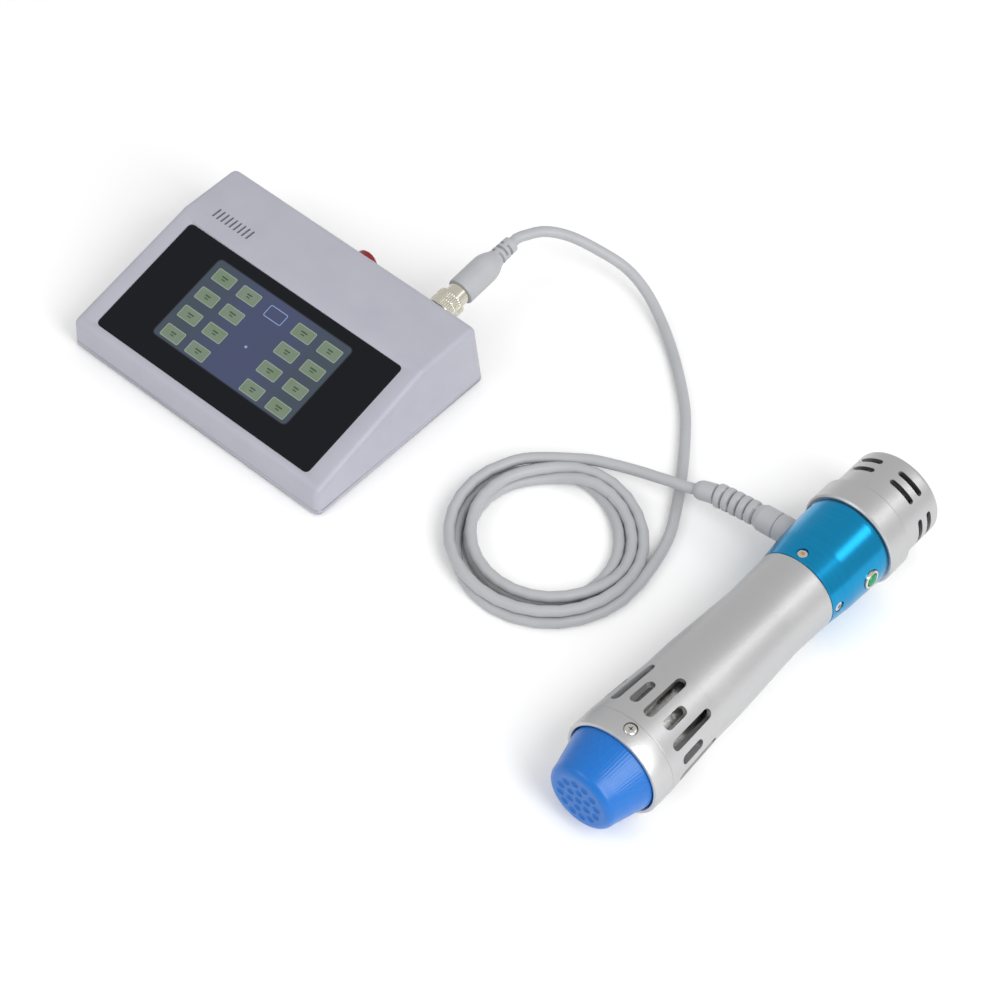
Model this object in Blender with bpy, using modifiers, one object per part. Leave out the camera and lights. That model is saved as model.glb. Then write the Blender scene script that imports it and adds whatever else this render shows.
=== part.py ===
"""Shockwave physiotherapy device: a desktop console with a touch screen, a handpiece, and the cord joining them.

Units are metres and +Z is up. The console stands on its feet, with its rear wall towards +Y. The handpiece
lies on its side to the right of it, parallel to +Y, with its treatment head towards -Y. The origin is at the
bottom centre of console and handpiece together. A station is a distance along the handpiece from its datum,
which lies just behind the front edge of the nose ring, towards the tail.
"""

import math

import bmesh
import bpy
from mathutils import Matrix, Vector

# ------------------------------------------------------------------ clearances
GAP = 0.0003  # between faces that rest on each other, and round a fixed pin
SLIDE_GAP = 0.0004  # round a piece that slides
SEAM = 0.0004  # the joint line between two casings

# --------------------------------------------------------------------- console
CONSOLE_WIDTH = 0.180
CONSOLE_DEPTH = 0.130
REAR_HEIGHT = 0.0441
FRONT_HEIGHT = 0.020
PLATEAU_FOOTPRINT = 0.0448  # from the rear wall's foot to the top of the slope
REAR_LEAN = math.radians(7.0)
SIDE_LEAN = math.radians(2.5)
EDGE_RADIUS = 0.0035
SHELL_WALL = 0.0028
FOOT_HEIGHT = 0.0017
FOOT_RADIUS = 0.006
FOOT_INSET = 0.018
BASE_THICKNESS = 0.0026
BASE_LOW = FOOT_HEIGHT + GAP
BASE_HIGH = BASE_LOW + BASE_THICKNESS
SHELL_LOW = BASE_HIGH + SEAM

SLOPE_TOP_Y = CONSOLE_DEPTH / 2 - PLATEAU_FOOTPRINT
SLOPE_RUN = SLOPE_TOP_Y + CONSOLE_DEPTH / 2
SLOPE_ANGLE = math.atan2(REAR_HEIGHT - FRONT_HEIGHT, SLOPE_RUN)
SLOPE_LENGTH = math.hypot(REAR_HEIGHT - FRONT_HEIGHT, SLOPE_RUN)

GLASS_SIDE_MARGIN = 0.013
GLASS_FRONT_MARGIN = 0.006
GLASS_REAR_MARGIN = 0.0065
GLASS_THICKNESS = 0.0013
GLASS_CORNER = 0.0025
GLASS_WIDTH = CONSOLE_WIDTH - 2 * GLASS_SIDE_MARGIN
GLASS_DEPTH = SLOPE_LENGTH - GLASS_FRONT_MARGIN - GLASS_REAR_MARGIN
GLASS_MIDDLE = GLASS_FRONT_MARGIN + GLASS_DEPTH / 2
LCD_SIDE_MARGIN = 0.0243  # from the glass's edge to the screen module's
LCD_REAR_MARGIN = 0.0015
LCD_FRONT_MARGIN = 0.0080
LCD_THICKNESS = 0.003
LCD_CLEARANCE = 0.0005
LCD_WIDTH = GLASS_WIDTH - 2 * LCD_SIDE_MARGIN
LCD_DEPTH = GLASS_DEPTH - LCD_FRONT_MARGIN - LCD_REAR_MARGIN
LCD_MIDDLE = GLASS_FRONT_MARGIN + LCD_FRONT_MARGIN + LCD_DEPTH / 2

SPEAKER_SLOTS = 9
SPEAKER_SLOT_PITCH = 0.0031
SPEAKER_SLOT_LENGTH = 0.0072
SPEAKER_SLOT_WIDTH = 0.0013
SPEAKER_INSET = 0.0315  # from the console's left side to the middle of the slots
SPEAKER_Y = SLOPE_TOP_Y + 0.0074
SPEAKER_RADIUS = 0.0082
SPEAKER_HEIGHT = 0.005
SPEAKER_DROP = 0.0007

BOSS_RADIUS = 0.0036
BOSS_INSET_X = 0.0095
BOSS_INSET_FRONT = 0.0105
BOSS_INSET_REAR = 0.0140
BASE_SCREW_RADIUS = 0.0012
BASE_SCREW_HEAD_RADIUS = 0.0028
BASE_SCREW_HEAD_HEIGHT = 0.0012
BASE_SCREW_LENGTH = 0.012

BOARD_THICKNESS = 0.0016
BOARD_STANDOFF = 0.0034
STANDOFF_RADIUS = 0.0026
BOARD_LOW = BASE_HIGH + BOARD_STANDOFF + GAP
BOARD_SIDE_MARGIN = 0.026
BOARD_SPACING = 0.004
CONTROL_BOARD_FRONT = 0.014
DRIVER_BOARD_DEPTH = 0.036
DRIVER_BOARD_REAR = 0.0105
CAPACITOR_RADIUS = 0.0078
CAPACITOR_HEIGHT = 0.022
CAPACITOR_PITCH = 0.0175
CAPACITOR_X = 0.0235
TRANSFORMER_SIZE = (0.026, 0.022, 0.016)
TRANSFORMER_X = -0.024

SWITCH_X = 0.002
SWITCH_DROP = 0.0195  # below the plateau
SWITCH_BODY_RADIUS = 0.0097
SWITCH_FLANGE_RADIUS = 0.0113
SWITCH_FLANGE = 0.0020
SWITCH_DEPTH = 0.013
SWITCH_WELL_RADIUS = 0.0089
SWITCH_WELL_DEPTH = 0.0065
ROCKER_RADIUS = 0.0083
ROCKER_PIVOT_DEPTH = 0.0010
ROCKER_SIDE_HEIGHT = 0.0086
ROCKER_MIDDLE_HEIGHT = 0.0066
ROCKER_BELOW = 0.0015
ROCKER_TILT = math.radians(8.0)

INLET_X = -0.042
INLET_DROP = 0.023
INLET_FLANGE_RADIUS = 0.0054
INLET_FLANGE = 0.0012
INLET_BODY_RADIUS = 0.0046
INLET_DEPTH = 0.012
INLET_BORE_RADIUS = 0.0029
INLET_BORE_DEPTH = 0.0095
INLET_PIN_RADIUS = 0.0010

# ------------------------------------------------------------- socket and plug
# Distances along the plug's axis are measured outwards from the rear wall.
SOCKET_X = 0.0577
SOCKET_DROP = 0.0141
SOCKET_RADIUS = 0.0059
SOCKET_FLANGE_RADIUS = SOCKET_RADIUS + 0.0021
SOCKET_FLANGE = 0.0016
SOCKET_REACH = 0.010
SOCKET_DEPTH = 0.009
SOCKET_WALL = 0.0011
SOCKET_FLOOR = 0.002
NUT_RADIUS = SOCKET_RADIUS + 0.0023
NUT_THICKNESS = 0.0025
NOSE_GAP = 0.0010
RING_LENGTH = 0.0113
RING_WALL = 0.0023
RING_LIP = 0.0019
RING_CLEARANCE = 0.0003
RING_START = SOCKET_FLANGE + 2 * GAP
RING_END = RING_START + RING_LENGTH
PLUG_COLLAR = 0.0010
PLUG_NECK_RADIUS = SOCKET_RADIUS - 0.0010
PLUG_BODY_RADIUS = SOCKET_RADIUS + 0.0006
PLUG_BODY_LENGTH = 0.0057
OVERMOULD_RADIUS = SOCKET_RADIUS + 0.0022
OVERMOULD_LENGTH = 0.0285
RELIEF_LENGTH = 0.0103
RELIEF_RADIUS = 0.0052
RELIEF_TIP_RADIUS = 0.0046
RELIEF_GROOVES = 3
OVERMOULD_START = RING_END + GAP + PLUG_BODY_LENGTH + GAP
RELIEF_START = OVERMOULD_START + OVERMOULD_LENGTH
RELIEF_END = RELIEF_START + RELIEF_LENGTH

# ------------------------------------------------------------------- handpiece
HAND_SPACING = 0.312  # from the console's middle to the handpiece's axis
HAND_LEAD = 0.091  # from the console's middle forward to the handpiece's datum
HAND_RADIUS = 0.0276
NOSE_START = -0.0065
NOSE_END = 0.0058
NOSE_WALL = 0.0024
NOSE_CHAMFER = 0.0008
BARREL_START = NOSE_END + SEAM
BARREL_LENGTH = 0.1308
SHOULDER_RADIUS = 0.0250
SHOULDER_LENGTH = 0.039
GRIP_LENGTH = 0.018
WAIST_RADIUS = 0.0223
WAIST_FROM_RING = 0.027
BARREL_WALL = 0.0031
BARREL_FRONT_BORE = 0.0225
BARREL_FRONT_BORE_LENGTH = 0.042
BARREL_REAR_RADIUS = 0.0231
BARREL_END = BARREL_START + BARREL_LENGTH
BARREL_BORE = WAIST_RADIUS - BARREL_WALL
NECK_WALL = 0.0014
NECK_LENGTH = 0.016
NECK_RADIUS = BARREL_BORE + NECK_WALL

VENT_COUNT = 16
VENT_CLOCK = math.radians(7.0)
VENT_WIDTH = 0.0055
LONG_VENT = (0.0125, 0.0420)
SHORT_VENT = (0.0150, 0.0310)

RING_START_S = BARREL_END + SEAM
SWITCH_RING_LENGTH = 0.0424
SWITCH_RING_END = RING_START_S + SWITCH_RING_LENGTH
SWITCH_RING_RADII = ((0.0, 0.0231), (0.35, 0.0247), (0.94, 0.0256), (1.0, 0.0253))
SWITCH_RING_BORE = NECK_RADIUS + GAP
RING_SCREW_S = BARREL_END + 0.005
RING_SCREW_CLOCK = math.radians(-6.0)
RING_SCREW_COUNT = 4
RING_SCREW_HEAD_RADIUS = 0.0027
RING_SCREW_RADIUS = 0.0012
RING_SCREW_FACE = 0.0234
RING_SCREW_HEAD = 0.0012

CONTROLS_S = SWITCH_RING_END - 0.0138  # station of the trigger and of the cable gland
TRIGGER_CLOCK = math.radians(83.0)
BEZEL_RADIUS = 0.0052
BEZEL_BODY_RADIUS = 0.0043
BEZEL_SEAT = 0.0243
BEZEL_FLANGE = 0.0015
BEZEL_DEPTH = 0.0058
TRIGGER_RADIUS = 0.0034
TRIGGER_PROUD = 0.0012
TRIGGER_TRAVEL = 0.0020
TRIGGER_LENGTH = 0.0062
TRIGGER_SWITCH_SIZE = (0.006, 0.006, 0.0035)

GLAND_CLOCK = math.radians(-96.0)
GLAND_RADIUS = 0.0073
GLAND_SEAT = 0.0241
GLAND_FACE = 0.0330
GLAND_SPIGOT_RADIUS = 0.0045
GLAND_SPIGOT_DEPTH = 0.0070
SET_SCREW_CLOCK = math.radians(-62.0)
SET_SCREW_FROM_REAR = 0.0047
SET_SCREW_RADIUS = 0.0019
SET_SCREW_LENGTH = 0.0026

BOOT_BODY_LENGTH = 0.0136
BOOT_BODY_RADIUS = 0.0072
BOOT_RIB_RADIUS = 0.0062
BOOT_GROOVE_RADIUS = 0.0046
BOOT_RIBS = 5
BOOT_RIB_PITCH = 0.0049
BOOT_KNOB_RADIUS = 0.0054
# The boot's middle line: how far out from the gland's face, and how far it has bent to -Y and down by then.
BOOT_LINE = ((0.0, 0.0, 0.0), (0.017, 0.0004, 0.0), (0.033, 0.0013, 0.0002), (0.042, 0.0026, 0.0008),
             (0.049, 0.0043, 0.0018))

COLLAR_LENGTH = 0.0150
COLLAR_CHAMFER = 0.0010
COLLAR_BORE = 0.0185
COLLAR_SPIGOT_LENGTH = 0.0060
FAN_SEAT_RADIUS = 0.0224
FAN_SEAT_DEPTH = 0.0108
FAN_RIM = 0.0026
FAN_LENGTH = 0.0088
FAN_HUB_RADIUS = 0.0076
FAN_SPOKE = 0.0016
FAN_SPOKES = 3
FAN_BLADES = 7
FAN_BLADE_CHORD = 0.0066
FAN_BLADE_THICKNESS = 0.0010
FAN_BLADE_PITCH = math.radians(38.0)
FAN_TIP_GAP = 0.0007
COLLAR_START = SWITCH_RING_END + SEAM
COLLAR_END = COLLAR_START + COLLAR_LENGTH
CAP_LENGTH = 0.0284
CAP_RADIUS = 0.0253
CAP_WALL = 0.0022
CAP_END_RADIUS = 0.0030
CAP_START = COLLAR_END + SEAM
CAP_END = CAP_START + CAP_LENGTH
CAP_SLOT_GROUPS = 6
CAP_SLOT_CLOCK = math.radians(24.5)
CAP_SLOT_ARC = math.radians(36.0)
CAP_SLOT_WIDTH = 0.0032
CAP_SLOT_STATIONS = (CAP_START + 0.0119, CAP_START + 0.0191)

# Inside the handpiece
PIN_RADIUS = 0.0058
PIN_REAR_RADIUS = 0.0030
GUIDE_WALL = 0.0010
GUIDE_BORE = PIN_RADIUS + SLIDE_GAP
GUIDE_RADIUS = GUIDE_BORE + GUIDE_WALL
BOBBIN_BORE = GUIDE_RADIUS + SLIDE_GAP
BOBBIN_WALL = 0.0014
BOBBIN_FLANGE = 0.003
BOBBIN_RADIUS = BARREL_BORE - SLIDE_GAP
BOBBIN_START = BARREL_START + 0.003
BOBBIN_END = BARREL_END - 0.018
WINDING_DEPTH = 0.0010  # how far the winding stays inside the flanges' rims
GUIDE_START = BARREL_START
GUIDE_END = BOBBIN_END + 0.015
STRIKER_LENGTH = 0.046
STRIKER_TRAVEL = 0.018
STRIKER_END = BOBBIN_END
STRIKER_START = STRIKER_END - STRIKER_LENGTH
PIN_SHOULDER = 0.0300  # station where the head pin steps down to its spigot
PIN_REAR_END = STRIKER_START - STRIKER_TRAVEL - GAP
SPRING_TURNS = 7
SPRING_WIRE = 0.00055
SPRING_RADIUS = 0.0046
BUSH_START = -0.0025
BUSH_END = NOSE_END - SEAM
BUSH_RADIUS = HAND_RADIUS - NOSE_WALL - SLIDE_GAP
FRONT_SCREW_S = 0.0016
FRONT_SCREW_CLOCK = math.radians(6.6)
FRONT_SCREW_COUNT = 3
FRONT_SCREW_HEAD_RADIUS = 0.0033
FRONT_SCREW_RADIUS = 0.0013
FRONT_SCREW_PROUD = 0.0002
FRONT_SCREW_HEAD = 0.0014
FRONT_SCREW_LENGTH = 0.0078
ORING_RADIUS = 0.0009
HEAD_TIP = -0.0310
HEAD_BASE_RADIUS = HAND_RADIUS - 0.0030
HEAD_TIP_RADIUS = HAND_RADIUS - 0.0082
HEAD_EDGE_RADIUS = 0.0030
HEAD_FLOOR = 0.0050
HEAD_BASE = BUSH_START - GAP
PIN_TIP = HEAD_TIP + HEAD_FLOOR + GAP
TERMINAL_BOARD_S = BARREL_END + NECK_LENGTH + 0.002
TERMINAL_BOARD_HOLE = 0.0075

# ------------------------------------------------------------------------ cord
CORD_DIAMETER = 0.006
CORD_POINT_SPACING = 0.014
COIL_CENTRE = (0.1865, 0.0025)
COIL_OUTER_RADIUS = 0.058
COIL_INNER_RADIUS = 0.0345
COIL_HEIGHT = 0.0125
COIL_CORNER = 0.0025
# Points that the free cord passes, in the console's frame, between the plug and the coil and on to the boot.
PLUG_ROUTE = ((0.0590, 0.1300, 0.0386), (0.0650, 0.1412, 0.0380), (0.0755, 0.1508, 0.0342),
              (0.0895, 0.1590, 0.0268), (0.1045, 0.1652, 0.0185), (0.1195, 0.1648, 0.0110),
              (0.1362, 0.1578, 0.0056), (0.1531, 0.1468, 0.0033), (0.1701, 0.1327, 0.0032),
              (0.1854, 0.1180, 0.0032), (0.1980, 0.1023, 0.0032), (0.2090, 0.0868, 0.0032),
              (0.2180, 0.0730, 0.0032), (0.2262, 0.0590, 0.0032), (0.2322, 0.0475, 0.0032),
              (0.2352, 0.0402, 0.0032))
BOOT_ROUTE = ((0.2143, 0.0671, 0.0145), (0.2065, 0.0654, 0.0131), (0.1986, 0.0636, 0.0120))

# ----------------------------------------------------------------- whole object
WIDTH_LOW, WIDTH_HIGH = -CONSOLE_WIDTH / 2, HAND_SPACING + HAND_RADIUS
DEPTH_LOW = min(-CONSOLE_DEPTH / 2, HEAD_TIP - HAND_LEAD)
DEPTH_HIGH = max(CONSOLE_DEPTH / 2, CAP_END - HAND_LEAD)
CONSOLE_AT = Vector((-(WIDTH_LOW + WIDTH_HIGH) / 2, -(DEPTH_LOW + DEPTH_HIGH) / 2, 0.0))
HAND_AT = CONSOLE_AT + Vector((HAND_SPACING, -HAND_LEAD, HAND_RADIUS))

ROUND = 36  # sides of a large round piece
MEDIUM = 20
SMALL = 12

for leftover in list(bpy.data.objects):
    bpy.data.objects.remove(leftover)

PARTS = bpy.data.collections.new("shockwave_therapy_device")
CUTTERS = bpy.data.collections.new("cutters")
for group in (PARTS, CUTTERS):
    bpy.context.scene.collection.children.link(group)


# ------------------------------------------------------------------- materials
def finish(name, colour, metallic, roughness):
    """A Principled material. The colour is linear red, green, blue."""
    made = bpy.data.materials.new(name)
    made.use_nodes = True
    shader = made.node_tree.nodes["Principled BSDF"]
    shader.inputs["Base Color"].default_value = (*colour, 1.0)
    shader.inputs["Metallic"].default_value = metallic
    shader.inputs["Roughness"].default_value = roughness
    return made


CASING = finish("casing_abs", (0.50, 0.52, 0.62), 0.0, 0.42)
GLASS = finish("black_glass", (0.006, 0.008, 0.010), 0.0, 0.05)
SCREEN = finish("screen", (0.06, 0.08, 0.13), 0.0, 0.25)
BOARD = finish("circuit_board", (0.02, 0.14, 0.06), 0.0, 0.45)
BLACK = finish("black_plastic", (0.015, 0.015, 0.017), 0.0, 0.45)
RED = finish("red_plastic", (0.45, 0.015, 0.015), 0.0, 0.30)
GREEN = finish("green_plastic", (0.01, 0.20, 0.08), 0.0, 0.30)
RUBBER = finish("rubber", (0.02, 0.02, 0.02), 0.0, 0.85)
CORD = finish("cord_pvc", (0.50, 0.51, 0.52), 0.0, 0.50)
NICKEL = finish("nickel_plate", (0.62, 0.61, 0.57), 1.0, 0.25)
SILVER = finish("satin_aluminium", (0.60, 0.61, 0.62), 1.0, 0.38)
ANODISED = finish("blue_anodised", (0.02, 0.20, 0.50), 1.0, 0.25)
HEAD_BLUE = finish("head_plastic", (0.02, 0.17, 0.60), 0.0, 0.35)
STEEL = finish("steel", (0.56, 0.56, 0.55), 1.0, 0.30)
COPPER = finish("copper_winding", (0.60, 0.22, 0.08), 1.0, 0.40)
WHITE = finish("white_plastic", (0.75, 0.76, 0.75), 0.0, 0.40)


# --------------------------------------------------------------------- helpers
def frame_at(name, location, rotation=(0.0, 0.0, 0.0), parent=None):
    """An empty that pieces are parented to, with its place given in its parent's frame."""
    empty = bpy.data.objects.new(name, None)
    PARTS.objects.link(empty)
    empty.parent, empty.location, empty.rotation_euler = parent, location, rotation
    return empty


def put(name, data, material, parent, at=(0.0, 0.0, 0.0), turn=(0.0, 0.0, 0.0)):
    """A new object in the parent's frame. Without a material it is a cutter, which is not part of the
    model."""
    made = bpy.data.objects.new(name, data)
    made.parent, made.location, made.rotation_euler = parent, at, turn
    if material is None:
        CUTTERS.objects.link(made)
        made.hide_render, made.display_type = True, "WIRE"
    else:
        PARTS.objects.link(made)
        data.materials.append(material)
    return made


def mesh_of(bm, name):
    """Ends a bmesh, and returns it as a mesh whose faces point outwards."""
    bmesh.ops.recalc_face_normals(bm, faces=bm.faces[:])
    mesh = bpy.data.meshes.new(name)
    bm.to_mesh(mesh)
    bm.free()
    return mesh


def turned(name, profile, material, parent, at=(0.0, 0.0, 0.0), turn=(0.0, 0.0, 0.0), sides=MEDIUM,
           ring=False):
    """Turns a profile of (radius, height) points about local Z. It runs from the top down its outer side, and
    starts and ends on the axis; a ring's closed section goes on up its inner side instead."""
    links = [(i, i + 1) for i in range(len(profile) - 1)]
    if ring:
        links.append((len(profile) - 1, 0))
    mesh = bpy.data.meshes.new(name)
    mesh.from_pydata([(radius, 0.0, height) for radius, height in profile], links, [])
    made = put(name, mesh, material, parent, at, turn)
    screw = made.modifiers.new("turn", "SCREW")
    screw.steps = screw.render_steps = sides
    screw.use_merge_vertices, screw.merge_threshold = True, 0.000002
    return made


def tube_section(outer, inner, low, high, chamfer=0.0):
    """The closed section of a plain tube with chamfered outer edges."""
    if chamfer:
        return [(outer - chamfer, high), (outer, high - chamfer), (outer, low + chamfer),
                (outer - chamfer, low),
                (inner, low), (inner, high)]
    return [(outer, high), (outer, low), (inner, low), (inner, high)]


def rod(name, radius, low, high, material, parent, at=(0.0, 0.0, 0.0), turn=(0.0, 0.0, 0.0), sides=SMALL):
    """A cylinder along local Z."""
    bm = bmesh.new()
    middle = Matrix.Translation((0.0, 0.0, (low + high) / 2))
    bmesh.ops.create_cone(bm, cap_ends=True, segments=sides, radius1=radius, radius2=radius, depth=high - low,
                          matrix=middle)
    return put(name, mesh_of(bm, name), material, parent, at, turn)


def add_slab(bm, size, corner=0.0, segments=3, where=None):
    """Adds a slab to a bmesh, centred on its frame, with its four edges along local Z rounded."""
    before = set(bm.verts)
    made = bmesh.ops.create_cube(bm, size=1.0)["verts"]
    bmesh.ops.scale(bm, vec=size, verts=made)
    if corner:
        upright = {edge for vert in made for edge in vert.link_edges
                   if abs(edge.verts[0].co.z - edge.verts[1].co.z) > size[2] / 2}
        bmesh.ops.bevel(bm, geom=list(upright), offset=corner, segments=segments, profile=0.5, affect="EDGES",
                        clamp_overlap=True)
    if where is not None:
        bmesh.ops.transform(bm, matrix=where, verts=[vert for vert in bm.verts if vert not in before])


def slab(name, size, material, parent, at=(0.0, 0.0, 0.0), turn=(0.0, 0.0, 0.0), corner=0.0, segments=3):
    """A slab as an object, centred on its place."""
    bm = bmesh.new()
    add_slab(bm, size, corner, segments)
    return put(name, mesh_of(bm, name), material, parent, at, turn)


def shape_with(target, operation, *others):
    """Boolean modifiers that cut the others from the target, or join them to it."""
    for other in others:
        modifier = target.modifiers.new(other.name, "BOOLEAN")
        modifier.operation, modifier.solver, modifier.object = operation, "EXACT", other


def cut(target, *others):
    shape_with(target, "DIFFERENCE", *others)


def join(target, *others):
    shape_with(target, "UNION", *others)


def tube(name, points, radii, material, parent, resolution=2):
    """A round tube through the points, as a curve with filled caps. Radii is one radius, or one for each
    point."""
    if not hasattr(radii, "__len__"):
        radii = [radii] * len(points)
    curve = bpy.data.curves.new(name, "CURVE")
    curve.dimensions, curve.use_fill_caps = "3D", True
    curve.bevel_depth, curve.bevel_resolution = max(radii), resolution
    spline = curve.splines.new("POLY")
    spline.points.add(len(points) - 1)
    for knot, place, radius in zip(spline.points, points, radii):
        knot.co = (*place, 1.0)
        knot.radius = radius / max(radii)
    return put(name, curve, material, parent)


def smooth_line(knots, spacing):
    """Points about a spacing apart on the smooth (Catmull-Rom) curve through the knots."""
    knots = [Vector(knot) for knot in knots]
    ends = [2 * knots[0] - knots[1], *knots, 2 * knots[-1] - knots[-2]]
    fine = []
    for a, b, c, d in zip(ends, ends[1:], ends[2:], ends[3:]):
        for step in range(24):
            t = step / 24
            fine.append(0.5 * (2 * b + (c - a) * t + (2 * a - 5 * b + 4 * c - d) * t * t
                               + (3 * b - a - 3 * c + d) * t ** 3))
    fine.append(knots[-1])
    length = [0.0]
    for here, there in zip(fine, fine[1:]):
        length.append(length[-1] + (there - here).length)
    count = max(2, round(length[-1] / spacing))
    line, at = [], 0
    for step in range(count + 1):
        reach = length[-1] * step / count
        while at < len(fine) - 2 and length[at + 1] < reach:
            at += 1
        share = (reach - length[at]) / (length[at + 1] - length[at])
        line.append(fine[at].lerp(fine[at + 1], share))
    return line


# ------------------------------------------------------------------ the console
console = frame_at("console_frame", CONSOLE_AT)
slope = frame_at("slope_frame", (0.0, -CONSOLE_DEPTH / 2, FRONT_HEIGHT), (SLOPE_ANGLE, 0.0, 0.0), console)


def console_block(low, high):
    """The console's outer form between two heights: a block cut by the slope, the rear lean and the side
    leans."""
    bm = bmesh.new()
    middle = Matrix.Translation((0.0, 0.0, (low + high) / 2))
    bmesh.ops.create_cube(bm, size=1.0, matrix=middle @ Matrix.Diagonal((CONSOLE_WIDTH, CONSOLE_DEPTH,
                                                                         high - low, 1)))
    half_width, half_depth = CONSOLE_WIDTH / 2, CONSOLE_DEPTH / 2
    planes = (((0.0, -half_depth, FRONT_HEIGHT), (0.0, -math.sin(SLOPE_ANGLE), math.cos(SLOPE_ANGLE))),
              ((0.0, half_depth, 0.0), (0.0, math.cos(REAR_LEAN), math.sin(REAR_LEAN))),
              ((half_width, 0.0, 0.0), (math.cos(SIDE_LEAN), 0.0, math.sin(SIDE_LEAN))),
              ((-half_width, 0.0, 0.0), (-math.cos(SIDE_LEAN), 0.0, math.sin(SIDE_LEAN))))
    for point, normal in planes:
        sliced = bmesh.ops.bisect_plane(bm, geom=bm.verts[:] + bm.edges[:] + bm.faces[:], plane_co=point,
                                        plane_no=normal, clear_outer=True)
        rim = [item for item in sliced["geom_cut"] if isinstance(item, bmesh.types.BMEdge)]
        if rim:
            bmesh.ops.edgeloop_fill(bm, edges=rim)
    bmesh.ops.recalc_face_normals(bm, faces=bm.faces[:])
    return bm


def boss_places():
    """The four screw bosses: x, y and the height half way through the roof's thickness above them."""
    for side in (-1, 1):
        x = side * (CONSOLE_WIDTH / 2 - BOSS_INSET_X)
        front = -CONSOLE_DEPTH / 2 + BOSS_INSET_FRONT
        rear = CONSOLE_DEPTH / 2 - BOSS_INSET_REAR
        yield x, front, FRONT_HEIGHT + (front + CONSOLE_DEPTH / 2) * math.tan(SLOPE_ANGLE) - SHELL_WALL / 2
        yield x, rear, REAR_HEIGHT - SHELL_WALL / 2


def on_rear_wall(name, x, drop):
    """A frame on the rear wall's outer face, a drop below the plateau, with local Z pointing out."""
    height = REAR_HEIGHT - drop
    return frame_at(name, (x, CONSOLE_DEPTH / 2 - height * math.tan(REAR_LEAN), height),
                    (REAR_LEAN - math.pi / 2, 0.0, 0.0), console)


socket_axis = on_rear_wall("socket_axis", SOCKET_X, SOCKET_DROP)
switch_axis = on_rear_wall("switch_axis", SWITCH_X, SWITCH_DROP)
inlet_axis = on_rear_wall("inlet_axis", INLET_X, INLET_DROP)


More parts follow.
